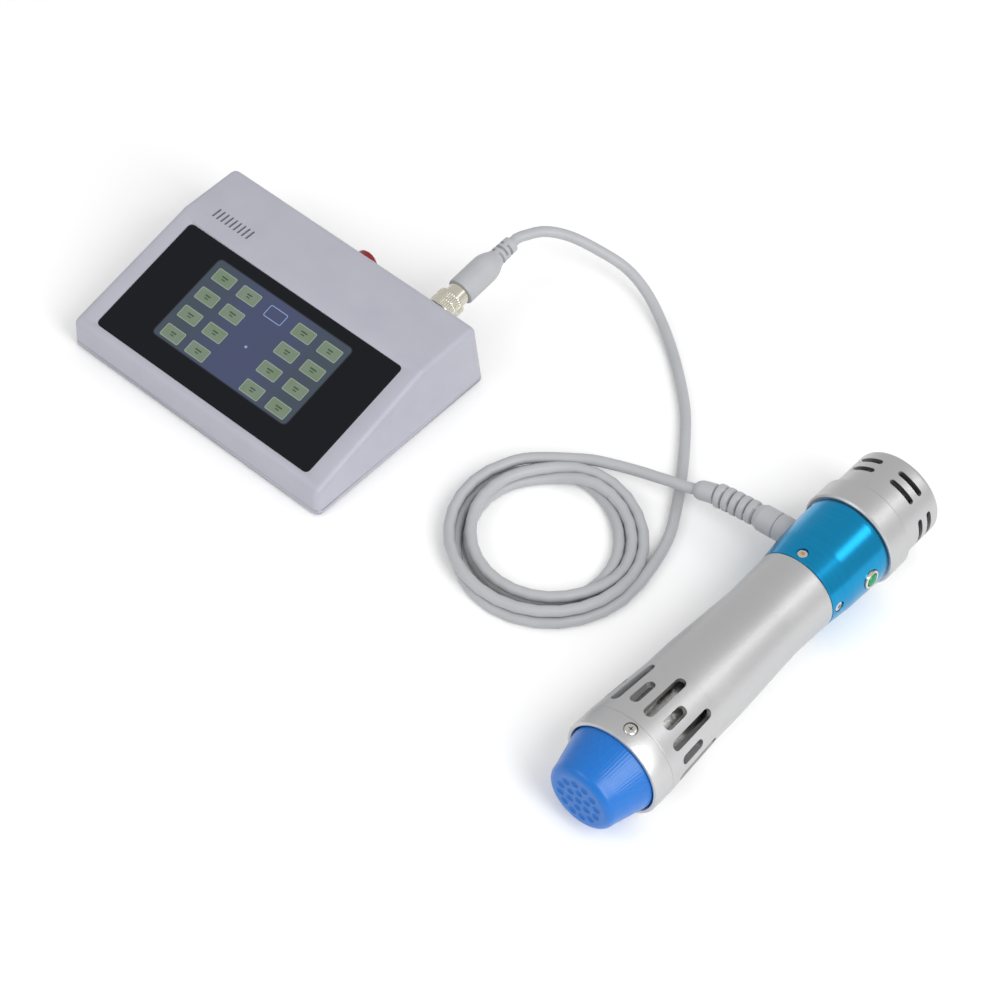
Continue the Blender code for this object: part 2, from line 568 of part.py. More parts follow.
def console_casing():
    """The top shell with its bosses and openings, the base plate, the feet and the base screws."""
    bm = console_block(SHELL_LOW, REAR_HEIGHT)
    floor = min(bm.faces, key=lambda face: face.calc_center_median().z)
    rounded = [edge for edge in bm.edges if edge not in floor.edges]
    bmesh.ops.delete(bm, geom=[floor], context="FACES_ONLY")
    bmesh.ops.bevel(bm, geom=rounded, offset=EDGE_RADIUS, segments=3, profile=0.5, affect="EDGES")
    bmesh.ops.recalc_face_normals(bm, faces=bm.faces[:])
    mesh = bpy.data.meshes.new("console_top_shell")
    bm.to_mesh(mesh)
    bm.free()
    shell = put("console_top_shell", mesh, CASING, console)
    wall = shell.modifiers.new("wall", "SOLIDIFY")
    wall.thickness, wall.offset, wall.use_even_offset = SHELL_WALL, -1.0, True

    bm = console_block(BASE_LOW, BASE_HIGH)
    corners = [edge for edge in bm.edges if abs(edge.verts[0].co.z - edge.verts[1].co.z) > BASE_THICKNESS / 2]
    bmesh.ops.bevel(bm, geom=corners, offset=EDGE_RADIUS, segments=3, profile=0.5, affect="EDGES")
    plate = put("console_base_plate", mesh_of(bm, "console_base_plate"), CASING, console)

    for number, (x, y, top) in enumerate(boss_places(), 1):
        join(shell, rod(f"boss_{number}", BOSS_RADIUS, SHELL_LOW + GAP, top, None, console, (x, y, 0.0)))
    for number, (x, y, _) in enumerate(boss_places(), 1):
        depth = BASE_LOW + GAP + BASE_SCREW_HEAD_HEIGHT
        pilot = rod(f"screw_hole_{number}", BASE_SCREW_RADIUS + GAP, 0.0, depth + BASE_SCREW_LENGTH + GAP,
                    None,
                    console, (x, y, 0.0))
        cut(shell, pilot)
        cut(plate, pilot, rod(f"screw_head_hole_{number}", BASE_SCREW_HEAD_RADIUS + GAP, 0.0, depth + GAP,
                              None,
                              console, (x, y, 0.0)))
        head, shaft = BASE_SCREW_HEAD_RADIUS, BASE_SCREW_RADIUS
        turned(f"base_screw_{number}", [(0.0, depth + BASE_SCREW_LENGTH),
                                        (shaft, depth + BASE_SCREW_LENGTH - shaft),
                                        (shaft, depth), (head, depth), (head, BASE_LOW + GAP),
                                        (0.0, BASE_LOW + GAP)],
               STEEL, console, (x, y, 0.0), sides=SMALL)

    for number, (side, end) in enumerate(((-1, -1), (1, -1), (-1, 1), (1, 1)), 1):
        place = (side * (CONSOLE_WIDTH / 2 - FOOT_INSET), end * (CONSOLE_DEPTH / 2 - FOOT_INSET), 0.0)
        rod(f"rubber_foot_{number}", FOOT_RADIUS, 0.0, FOOT_HEIGHT, RUBBER, console, place, sides=MEDIUM)

    recess = slab("glass_recess", (GLASS_WIDTH + 2 * GAP, GLASS_DEPTH + 2 * GAP, 2 * (GLASS_THICKNESS + GAP)),
                  None,
                  slope, (0.0, GLASS_MIDDLE, 0.0), corner=GLASS_CORNER + GAP)
    window = slab("lcd_window", (LCD_WIDTH + 2 * LCD_CLEARANCE, LCD_DEPTH + 2 * LCD_CLEARANCE,
                                 4 * SHELL_WALL), None,
                  slope, (0.0, LCD_MIDDLE, 0.0))
    bm = bmesh.new()
    for number in range(SPEAKER_SLOTS):
        x = -CONSOLE_WIDTH / 2 + SPEAKER_INSET + (number - (SPEAKER_SLOTS - 1) / 2) * SPEAKER_SLOT_PITCH
        add_slab(bm, (SPEAKER_SLOT_WIDTH, SPEAKER_SLOT_LENGTH, 4 * SHELL_WALL), 0.48 * SPEAKER_SLOT_WIDTH, 2,
                 Matrix.Translation((x, SPEAKER_Y, REAR_HEIGHT)))
    slots = put("speaker_slots", mesh_of(bm, "speaker_slots"), None, console)
    cut(shell, recess, window, slots)
    through = 4 * SHELL_WALL
    cut(shell, rod("socket_hole", SOCKET_RADIUS + GAP, -through, through, None, socket_axis, sides=MEDIUM),
        rod("switch_hole", SWITCH_BODY_RADIUS + GAP, -through, through, None, switch_axis, sides=MEDIUM),
        rod("inlet_hole", INLET_BODY_RADIUS + GAP, -through, through, None, inlet_axis, sides=MEDIUM))
    return plate


def console_display():
    """The cover glass, set flush in the slope, and the screen module bonded behind it."""
    slab("glass_panel", (GLASS_WIDTH, GLASS_DEPTH, GLASS_THICKNESS), GLASS, slope,
         (0.0, GLASS_MIDDLE, -GLASS_THICKNESS / 2), corner=GLASS_CORNER)
    slab("lcd_module", (LCD_WIDTH, LCD_DEPTH, LCD_THICKNESS), SCREEN, slope,
         (0.0, LCD_MIDDLE, -GLASS_THICKNESS - GAP - LCD_THICKNESS / 2))


def console_electronics(plate):
    """Two circuit boards on standoffs, the parts on the rear one, and the speaker under its slots."""
    width = CONSOLE_WIDTH - 2 * BOARD_SIDE_MARGIN
    driver_rear = CONSOLE_DEPTH / 2 - DRIVER_BOARD_REAR
    driver_front = driver_rear - DRIVER_BOARD_DEPTH
    control_rear = driver_front - BOARD_SPACING
    control_front = -CONSOLE_DEPTH / 2 + CONTROL_BOARD_FRONT
    middle = BOARD_LOW + BOARD_THICKNESS / 2
    for name, front, rear in (("control_board", control_front, control_rear),
                              ("driver_board", driver_front, driver_rear)):
        slab(name, (width, rear - front, BOARD_THICKNESS), BOARD, console, (0.0, (front + rear) / 2, middle))
        for number, (side, end) in enumerate(((-1, front), (1, front), (-1, rear), (1, rear)), 1):
            inwards = 2 * STANDOFF_RADIUS
            place = (side * (width / 2 - inwards), end + (inwards if end == front else -inwards), 0.0)
            join(plate, rod(f"{name}_standoff_{number}", STANDOFF_RADIUS, BASE_LOW + BASE_THICKNESS / 2,
                            BASE_HIGH + BOARD_STANDOFF, None, console, place, sides=12))
    deck = BOARD_LOW + BOARD_THICKNESS + GAP
    line = (driver_front + driver_rear) / 2
    for number in (1, 2):
        rod(f"capacitor_{number}", CAPACITOR_RADIUS, deck, deck + CAPACITOR_HEIGHT, BLACK, console,
            (CAPACITOR_X + (number - 1) * CAPACITOR_PITCH, line - 0.25 * DRIVER_BOARD_DEPTH, 0.0), sides=20)
    slab("boost_transformer", TRANSFORMER_SIZE, COPPER, console,
         (TRANSFORMER_X, line - 0.1 * DRIVER_BOARD_DEPTH, deck + TRANSFORMER_SIZE[2] / 2), corner=0.002,
         segments=2)
    top = REAR_HEIGHT - SHELL_WALL - SPEAKER_DROP
    turned("speaker", [(0.0, top - 0.0016), (SPEAKER_RADIUS - 0.0015, top), (SPEAKER_RADIUS, top),
                       (SPEAKER_RADIUS, top - 0.5 * SPEAKER_HEIGHT),
                       (0.6 * SPEAKER_RADIUS, top - SPEAKER_HEIGHT),
                       (0.0, top - SPEAKER_HEIGHT)], BLACK, console,
           (-CONSOLE_WIDTH / 2 + SPEAKER_INSET, SPEAKER_Y, 0.0), sides=20)


def power_switch():
    """A round rocker switch in the rear wall, at rest with its upper half standing out."""
    flange_top = GAP + SWITCH_FLANGE
    turned("switch_housing", [(0.0, flange_top - SWITCH_WELL_DEPTH),
                              (SWITCH_WELL_RADIUS, flange_top - SWITCH_WELL_DEPTH),
                              (SWITCH_WELL_RADIUS, flange_top), (SWITCH_FLANGE_RADIUS - 0.0006, flange_top),
                              (SWITCH_FLANGE_RADIUS, flange_top - 0.0006), (SWITCH_FLANGE_RADIUS, GAP),
                              (SWITCH_BODY_RADIUS, GAP), (SWITCH_BODY_RADIUS, -SWITCH_DEPTH),
                              (0.0, -SWITCH_DEPTH)],
           BLACK, switch_axis)
    pivot = frame_at("rocker_pivot", (0.0, 0.0, -ROCKER_PIVOT_DEPTH), (-ROCKER_TILT, 0.0, 0.0), switch_axis)
    rocker = rod("switch_rocker", ROCKER_RADIUS, -ROCKER_BELOW, ROCKER_SIDE_HEIGHT + 0.001, RED, pivot,
                 sides=MEDIUM)
    dip = math.atan2(ROCKER_SIDE_HEIGHT - ROCKER_MIDDLE_HEIGHT, ROCKER_RADIUS)
    for number, side in enumerate((-1, 1), 1):
        height, reach = 0.010, 3 * ROCKER_RADIUS
        tilt = Matrix.Rotation(side * dip, 4, "X")
        bm = bmesh.new()
        add_slab(bm, (reach, reach, height), where=Matrix.Translation((0.0, 0.0, ROCKER_MIDDLE_HEIGHT)) @ tilt
                 @ Matrix.Translation((0.0, side * reach / 2, height / 2)))
        cut(rocker, put(f"rocker_face_{number}", mesh_of(bm, "rocker_face"), None, pivot))


def power_inlet():
    """A low-voltage barrel inlet: a round body with a pin standing in its bore."""
    top = GAP + INLET_FLANGE
    floor = top - INLET_BORE_DEPTH
    turned("power_inlet", [(0.0, top - 0.0012), (INLET_PIN_RADIUS, top - 0.0016), (INLET_PIN_RADIUS, floor),
                           (INLET_BORE_RADIUS, floor), (INLET_BORE_RADIUS, top), (INLET_FLANGE_RADIUS, top),
                           (INLET_FLANGE_RADIUS, GAP), (INLET_BODY_RADIUS, GAP),
                           (INLET_BODY_RADIUS, -INLET_DEPTH),
                           (0.0, -INLET_DEPTH)], BLACK, inlet_axis, sides=20)


def socket_and_plug():
    """The round panel socket with its nut, and the cord's plug with its knurled coupling ring."""
    bore = SOCKET_RADIUS - SOCKET_WALL
    flange_top = GAP + SOCKET_FLANGE
    turned("socket_body", [(0.0, SOCKET_FLOOR), (bore, SOCKET_FLOOR), (bore, SOCKET_REACH),
                           (SOCKET_RADIUS, SOCKET_REACH),
                           (SOCKET_RADIUS, flange_top), (SOCKET_FLANGE_RADIUS, flange_top),
                           (SOCKET_FLANGE_RADIUS, GAP),
                           (SOCKET_RADIUS, GAP), (SOCKET_RADIUS, -SOCKET_DEPTH), (0.0, -SOCKET_DEPTH)],
           NICKEL, socket_axis, sides=MEDIUM)
    nut_top = -SHELL_WALL - GAP
    nut = rod("socket_nut", NUT_RADIUS, nut_top - NUT_THICKNESS, nut_top, NICKEL, socket_axis, sides=6)
    cut(nut, rod("nut_bore", SOCKET_RADIUS + GAP, nut_top - 2 * NUT_THICKNESS, nut_top + NUT_THICKNESS, None,
                 socket_axis, sides=MEDIUM))
    ring_bore = SOCKET_RADIUS + RING_CLEARANCE
    ring_radius = ring_bore + RING_WALL
    lip_bore = PLUG_NECK_RADIUS + RING_CLEARANCE
    lip_start = RING_END - RING_LIP
    turned("coupling_ring", [(ring_radius - 0.0004, RING_END), (ring_radius, RING_END - 0.0004),
                             (ring_radius, RING_START + 0.0004), (ring_radius - 0.0004, RING_START),
                             (ring_bore, RING_START), (ring_bore, lip_start), (lip_bore, lip_start),
                             (lip_bore, RING_END)], NICKEL, socket_axis, ring=True)
    collar_top = lip_start - GAP
    collar_low = collar_top - PLUG_COLLAR
    nose = bore - SLIDE_GAP
    body_end = RING_END + GAP + PLUG_BODY_LENGTH
    turned("plug_shell", [(0.0, body_end), (PLUG_BODY_RADIUS, body_end), (PLUG_BODY_RADIUS, RING_END + GAP),
                          (PLUG_NECK_RADIUS, RING_END + GAP), (PLUG_NECK_RADIUS, collar_top),
                          (SOCKET_RADIUS, collar_top), (SOCKET_RADIUS, max(collar_low, SOCKET_REACH + GAP)),
                          (nose, max(collar_low, SOCKET_REACH + GAP)), (nose, SOCKET_FLOOR + NOSE_GAP),
                          (0.0, SOCKET_FLOOR + NOSE_GAP)], NICKEL, socket_axis)
    length = OVERMOULD_LENGTH
    profile = [(0.0, RELIEF_END), (RELIEF_TIP_RADIUS, RELIEF_END)]
    pitch = RELIEF_LENGTH / RELIEF_GROOVES
    for groove in reversed(range(RELIEF_GROOVES)):
        middle = RELIEF_START + (groove + 0.5) * pitch
        share = (middle - RELIEF_START) / RELIEF_LENGTH
        radius = RELIEF_RADIUS + (RELIEF_TIP_RADIUS - RELIEF_RADIUS) * share
        for reach, depth in ((0.0007, 0.0), (0.0, 0.0008), (-0.0007, 0.0)):
            profile.append((radius - depth, middle + reach))
    profile += [(RELIEF_RADIUS, RELIEF_START), (0.78 * OVERMOULD_RADIUS, RELIEF_START - 0.09 * length),
                (0.93 * OVERMOULD_RADIUS, RELIEF_START - 0.24 * length),
                (OVERMOULD_RADIUS, RELIEF_START - 0.42 * length),
                (OVERMOULD_RADIUS, OVERMOULD_START + 0.0008), (OVERMOULD_RADIUS - 0.0008, OVERMOULD_START),
                (0.0, OVERMOULD_START)]
    turned("plug_overmould", profile, CORD, socket_axis)


# ---------------------------------------------------------------- the handpiece
# Local Z runs along the handpiece from head to tail. A clock angle is taken from the top towards +X.
hand = frame_at("handpiece_axis", HAND_AT, (-math.pi / 2, 0.0, 0.0))


def radial(station, clock):
    """The place, in the handpiece's frame, of a feature that faces outwards: local Z points out from the
    axis."""
    return (Matrix.Translation((0.0, 0.0, station)) @ Matrix.Rotation(clock - math.pi / 2, 4, "Z")
            @ Matrix.Rotation(math.pi / 2, 4, "Y"))


def radial_frame(name, station, clock):
    place = radial(station, clock)
    return frame_at(name, place.translation, place.to_euler(), hand)


def radial_cutter(name, features, size, corner):
    """Slabs that each cut outwards through a wall: (station, clock, length along the axis) for each."""
    bm = bmesh.new()
    width, inner, outer = size
    for station, clock, length in features:
        add_slab(bm, (length, width, outer - inner), corner, 2,
                 radial(station, clock) @ Matrix.Translation((0.0, 0.0, (inner + outer) / 2)))
    return put(name, mesh_of(bm, name), None, hand)


def barrel_outline():
    """The barrel's outer side from its front edge to its rear, as (station, radius)."""
    shoulder = BARREL_START + SHOULDER_LENGTH
    grip = shoulder + GRIP_LENGTH
    waist = BARREL_END - WAIST_FROM_RING
    outline = [(BARREL_START, HAND_RADIUS - NOSE_CHAMFER / 2), (BARREL_START + NOSE_CHAMFER / 2, HAND_RADIUS)]
    outline.append((BARREL_START + 0.35 * SHOULDER_LENGTH, 0.67 * HAND_RADIUS + 0.33 * SHOULDER_RADIUS))
    outline += [(shoulder, SHOULDER_RADIUS), (grip, SHOULDER_RADIUS)]
    for step in range(1, 5):
        share = step / 4
        ease = (1 - math.cos(math.pi * share)) / 2
        outline.append((grip + (waist - grip) * share,
                        SHOULDER_RADIUS + (WAIST_RADIUS - SHOULDER_RADIUS) * ease))
    outline.append((BARREL_END, BARREL_REAR_RADIUS))
    return outline


def barrel_and_nose():
    """The slotted barrel, the nose ring in front of it, and the bush that carries the head's pin."""
    outline = barrel_outline()
    neck_end = BARREL_END + NECK_LENGTH
    front_bore_end = BARREL_START + BARREL_FRONT_BORE_LENGTH
    section = [(NECK_RADIUS, neck_end), (NECK_RADIUS, BARREL_END)]
    section += [(radius, station) for station, radius in reversed(outline)]
    section += [(BARREL_FRONT_BORE, BARREL_START), (BARREL_FRONT_BORE, front_bore_end),
                (BARREL_BORE, front_bore_end),
                (BARREL_BORE, neck_end)]
    barrel = turned("barrel", section, SILVER, hand, sides=ROUND, ring=True)
    vents = []
    for number in range(VENT_COUNT):
        start, end = LONG_VENT if number % 2 == 0 else SHORT_VENT
        vents.append(((start + end) / 2, VENT_CLOCK + number * 2 * math.pi / VENT_COUNT, end - start))
    cut(barrel, radial_cutter("vents", vents, (VENT_WIDTH, BARREL_FRONT_BORE - 0.001, HAND_RADIUS + 0.001),
                              0.48 * VENT_WIDTH))

    inner = HAND_RADIUS - NOSE_WALL
    nose = turned("nose_ring", tube_section(HAND_RADIUS, inner, NOSE_START, NOSE_END, NOSE_CHAMFER), SILVER,
                  hand,
                  sides=ROUND, ring=True)
    pin_bore = PIN_RADIUS + SLIDE_GAP
    groove = pin_bore + 2 * ORING_RADIUS + GAP
    groove_floor = BUSH_START + 2 * ORING_RADIUS + 2 * GAP
    bush = turned("front_bush", [(BUSH_RADIUS, BUSH_END), (BUSH_RADIUS, BUSH_START), (groove, BUSH_START),
                                 (groove, groove_floor), (pin_bore, groove_floor), (pin_bore, BUSH_END)],
                  SILVER, hand, sides=ROUND, ring=True)
    centre = pin_bore + ORING_RADIUS + 0.5 * GAP
    turned("head_oring", [(centre + ORING_RADIUS * math.cos(a), BUSH_START + ORING_RADIUS + GAP
                           + ORING_RADIUS * math.sin(a)) for a in [-i * math.pi / 4 for i in range(8)]],
           RUBBER, hand, sides=20, ring=True)

    face = HAND_RADIUS + FRONT_SCREW_PROUD
    seat = face - FRONT_SCREW_HEAD
    for number in range(1, FRONT_SCREW_COUNT + 1):
        clock = FRONT_SCREW_CLOCK + (number - 1) * 2 * math.pi / FRONT_SCREW_COUNT
        out = radial_frame(f"front_screw_axis_{number}", FRONT_SCREW_S, clock)
        head, shaft = FRONT_SCREW_HEAD_RADIUS, FRONT_SCREW_RADIUS
        turned(f"front_screw_{number}", [(0.0, face), (0.6 * head, face),
                                         (head, face - 0.4 * FRONT_SCREW_HEAD),
                                         (head, seat), (shaft, seat), (shaft, seat - FRONT_SCREW_LENGTH),
                                         (0.0, seat - FRONT_SCREW_LENGTH)], STEEL, out, sides=SMALL)
        pocket = rod(f"front_screw_pocket_{number}", head + GAP, seat - GAP, face + 0.002, None, out,
                     sides=SMALL)
        hole = rod(f"front_screw_hole_{number}", shaft + GAP, seat - FRONT_SCREW_LENGTH - GAP, seat + GAP,
                   None, out,
                   sides=12)
        cut(nose, pocket, hole)
        cut(bush, hole)
    return barrel


def switch_ring(barrel):
    """The blue ring behind the barrel, which its four screws hold on the barrel's neck."""
    section = [(radius, RING_START_S + share * SWITCH_RING_LENGTH) for share,
               radius in reversed(SWITCH_RING_RADII)]
    section += [(SWITCH_RING_BORE, RING_START_S), (SWITCH_RING_BORE, SWITCH_RING_END)]
    ring = turned("switch_ring", section, ANODISED, hand, sides=ROUND, ring=True)
    seat = RING_SCREW_FACE - RING_SCREW_HEAD
    inner = BARREL_BORE + GAP
    for number in range(1, RING_SCREW_COUNT + 1):
        clock = RING_SCREW_CLOCK + (number - 1) * 2 * math.pi / RING_SCREW_COUNT
        out = radial_frame(f"ring_screw_axis_{number}", RING_SCREW_S, clock)
        head, shaft = RING_SCREW_HEAD_RADIUS, RING_SCREW_RADIUS
        turned(f"ring_screw_{number}", [(0.0, RING_SCREW_FACE - 0.0006), (0.0010, RING_SCREW_FACE - 0.0006),
                                        (0.0014, RING_SCREW_FACE), (head, RING_SCREW_FACE), (head, seat),
                                        (shaft, seat), (shaft, inner), (0.0, inner)], STEEL, out, sides=SMALL)
        cut(ring, rod(f"ring_screw_pocket_{number}", head + GAP, seat - GAP, RING_SCREW_FACE + 0.004, None,
                      out),
            rod(f"ring_screw_hole_{number}", shaft + GAP, BARREL_BORE - 0.002, seat + GAP, None, out,
                sides=12))
        cut(barrel, rod(f"neck_screw_hole_{number}", shaft + GAP, BARREL_BORE - 0.002, seat + GAP, None, out,
                        sides=12))
    return ring


def trigger(ring):
    """The push button on the ring's right side: a bright bezel, the green button in it, and the switch
    below."""
    out = radial_frame("trigger_axis", CONTROLS_S, TRIGGER_CLOCK)
    flange_top = BEZEL_SEAT + GAP + BEZEL_FLANGE
    body_end = BEZEL_SEAT - BEZEL_DEPTH
    bore = TRIGGER_RADIUS + SLIDE_GAP
    turned("trigger_bezel", [(bore, flange_top), (BEZEL_RADIUS - 0.0006, flange_top),
                             (BEZEL_RADIUS, flange_top - 0.0006), (BEZEL_RADIUS, BEZEL_SEAT + GAP),
                             (BEZEL_BODY_RADIUS, BEZEL_SEAT + GAP), (BEZEL_BODY_RADIUS, body_end),
                             (bore, body_end)],
           NICKEL, out, sides=MEDIUM, ring=True)
    cut(ring, rod("bezel_seat", BEZEL_RADIUS + GAP, BEZEL_SEAT, BEZEL_SEAT + 0.006, None, out, sides=MEDIUM),
        rod("bezel_hole", BEZEL_BODY_RADIUS + GAP, SWITCH_RING_BORE - 0.002, BEZEL_SEAT + 0.001, None, out,
            sides=MEDIUM))
    top = flange_top + TRIGGER_PROUD
    low = top - TRIGGER_LENGTH
    turned("trigger_button", [(0.0, top), (0.6 * TRIGGER_RADIUS, top - 0.0002),
                              (TRIGGER_RADIUS, top - 0.0009),
                              (TRIGGER_RADIUS, low), (0.0, low)], GREEN, out, sides=20)
    size = TRIGGER_SWITCH_SIZE
    switch_top = min(low - TRIGGER_TRAVEL, body_end) - GAP
    slab("trigger_switch", size, BLACK, out, (0.0, 0.0, switch_top - size[2] / 2))


def gland_and_boot(ring):
    """The cable gland on the ring's left side, its set screw, and the ribbed boot that bends with the
    cord."""
    out = radial_frame("gland_axis", CONTROLS_S, GLAND_CLOCK)
    spigot_end = GLAND_SEAT - GLAND_SPIGOT_DEPTH
    turned("cable_collar", [(0.0, GLAND_FACE), (GLAND_RADIUS - 0.0003, GLAND_FACE),
                            (GLAND_RADIUS, GLAND_FACE - 0.0003),
                            (GLAND_RADIUS, GLAND_SEAT + GAP), (GLAND_SPIGOT_RADIUS, GLAND_SEAT + GAP),
                            (GLAND_SPIGOT_RADIUS, spigot_end), (0.0, spigot_end)], CORD, out, sides=MEDIUM)
    cut(ring, rod("gland_seat", GLAND_RADIUS + GAP, GLAND_SEAT, GLAND_FACE, None, out, sides=MEDIUM),
        rod("gland_hole", GLAND_SPIGOT_RADIUS + GAP, SWITCH_RING_BORE - 0.003, GLAND_SEAT + 0.001, None, out,
            sides=MEDIUM))
    side = radial_frame("set_screw_axis", SWITCH_RING_END - SET_SCREW_FROM_REAR, SET_SCREW_CLOCK)
    face = SWITCH_RING_RADII[2][1] - 0.0004
    rod("gland_set_screw", SET_SCREW_RADIUS, face - SET_SCREW_LENGTH, face, STEEL, side, sides=SMALL)
    cut(ring, rod("set_screw_hole", SET_SCREW_RADIUS + GAP, face - SET_SCREW_LENGTH - GAP, face + 0.003, None,
                  side,
                  sides=SMALL))

    start = HAND_AT + Vector((0.0, CONTROLS_S, 0.0)) - CONSOLE_AT
    outwards = Vector((math.sin(GLAND_CLOCK), 0.0, math.cos(GLAND_CLOCK)))
    knots = [start + outwards * (GLAND_FACE + GAP + reach) + Vector((0.0, -aside, -down))
             for reach, aside, down in BOOT_LINE]
    line = smooth_line(knots, BOOT_RIB_PITCH / 4)
    radii = []
    reach = 0.0
    previous = line[0]
    ribs_end = BOOT_BODY_LENGTH + BOOT_RIBS * BOOT_RIB_PITCH
    for point in line:
        reach += (point - previous).length
        previous = point
        if reach < BOOT_BODY_LENGTH:
            share = reach / BOOT_BODY_LENGTH
            radii.append(BOOT_BODY_RADIUS + (BOOT_RIB_RADIUS - BOOT_BODY_RADIUS) * share)
        elif reach < ribs_end:
            wave = math.cos(2 * math.pi * (reach - BOOT_BODY_LENGTH) / BOOT_RIB_PITCH)
            radii.append(BOOT_GROOVE_RADIUS + (BOOT_RIB_RADIUS - BOOT_GROOVE_RADIUS) * (1 - wave) / 2)
        else:
            radii.append(BOOT_KNOB_RADIUS)
    tube("cable_boot", line, radii, CORD, console, resolution=3)
    return line


def tail():
    """The tail collar with the fan seated in it, and the slotted tail cap."""
    spigot = SWITCH_RING_BORE - SLIDE_GAP
    seat_floor = COLLAR_END - FAN_SEAT_DEPTH
    edge = HAND_RADIUS - COLLAR_CHAMFER
    turned("tail_collar", [(edge, COLLAR_END), (HAND_RADIUS, COLLAR_END - COLLAR_CHAMFER),
                           (HAND_RADIUS, COLLAR_START + COLLAR_CHAMFER), (edge, COLLAR_START),
                           (spigot, COLLAR_START),
                           (spigot, COLLAR_START - COLLAR_SPIGOT_LENGTH),
                           (COLLAR_BORE, COLLAR_START - COLLAR_SPIGOT_LENGTH), (COLLAR_BORE, seat_floor),
                           (FAN_SEAT_RADIUS, seat_floor), (FAN_SEAT_RADIUS, COLLAR_END)],
           SILVER, hand, sides=ROUND, ring=True)
    start = seat_floor + GAP
    rim_outer = FAN_SEAT_RADIUS - SLIDE_GAP
    rim_inner = rim_outer - FAN_RIM
    frame = turned("fan_frame", tube_section(rim_outer, rim_inner, start, start + FAN_LENGTH), BLACK, hand,
                   sides=28,
                   ring=True)
    bm = bmesh.new()
    arm_start, arm_end = 0.6 * FAN_HUB_RADIUS, rim_inner + 0.5 * FAN_RIM
    for number in range(FAN_SPOKES):
        turn = Matrix.Rotation(number * 2 * math.pi / FAN_SPOKES + 0.5, 4, "Z")
        where = turn @ Matrix.Translation(((arm_start + arm_end) / 2, 0.0, start + FAN_SPOKE / 2))
        add_slab(bm, (arm_end - arm_start, 0.0030, 0.7 * FAN_SPOKE), where=where)
    spokes = put("fan_spokes", mesh_of(bm, "fan_spokes"), None, hand)
    join(frame, rod("fan_hub", FAN_HUB_RADIUS, start, start + FAN_SPOKE, None, hand, sides=20), spokes)
    rotor_low = start + FAN_SPOKE + SLIDE_GAP
    rotor_high = start + FAN_LENGTH - SLIDE_GAP
    rotor = rod("fan_rotor", FAN_HUB_RADIUS, rotor_low, rotor_high, BLACK, hand, sides=20)
    bm = bmesh.new()
    blade_inner, blade_outer = 0.85 * FAN_HUB_RADIUS, rim_inner - FAN_TIP_GAP
    chord = min(FAN_BLADE_CHORD,
                0.9 * (rotor_high - rotor_low - FAN_BLADE_THICKNESS) / math.sin(FAN_BLADE_PITCH))
    for number in range(FAN_BLADES):
        where = (Matrix.Rotation(number * 2 * math.pi / FAN_BLADES, 4, "Z")
                 @ Matrix.Translation(((blade_inner + blade_outer) / 2, 0.0, (rotor_low + rotor_high) / 2))
                 @ Matrix.Rotation(FAN_BLADE_PITCH, 4, "X"))
        add_slab(bm, (blade_outer - blade_inner, chord, FAN_BLADE_THICKNESS), where=where)
    join(rotor, put("fan_blades", mesh_of(bm, "fan_blades"), None, hand))

    profile = []
    for step in range(5):
        angle = step * math.pi / 8
        profile.append((CAP_RADIUS - CAP_END_RADIUS * (1 - math.sin(angle)),
                        CAP_END - CAP_END_RADIUS * (1 - math.cos(angle))))
    inner = CAP_RADIUS - CAP_WALL
    inside = CAP_END - CAP_WALL
    cap = turned("tail_cap", [(0.0, CAP_END), *profile, (CAP_RADIUS, CAP_START), (inner, CAP_START),
                              (inner, inside - 0.0045), (inner - 0.0045, inside), (0.0, inside)],
                 SILVER, hand, sides=ROUND)
    slots = []
    for group in range(CAP_SLOT_GROUPS):
        for station in CAP_SLOT_STATIONS:
            slots.append((station, CAP_SLOT_CLOCK + group * 2 * math.pi / CAP_SLOT_GROUPS, CAP_SLOT_WIDTH))
    length = 2 * CAP_RADIUS * math.sin(CAP_SLOT_ARC / 2)
    cut(cap, radial_cutter("cap_slots", slots, (length, 0.8 * inner, CAP_RADIUS + 0.002),
                           0.48 * CAP_SLOT_WIDTH))


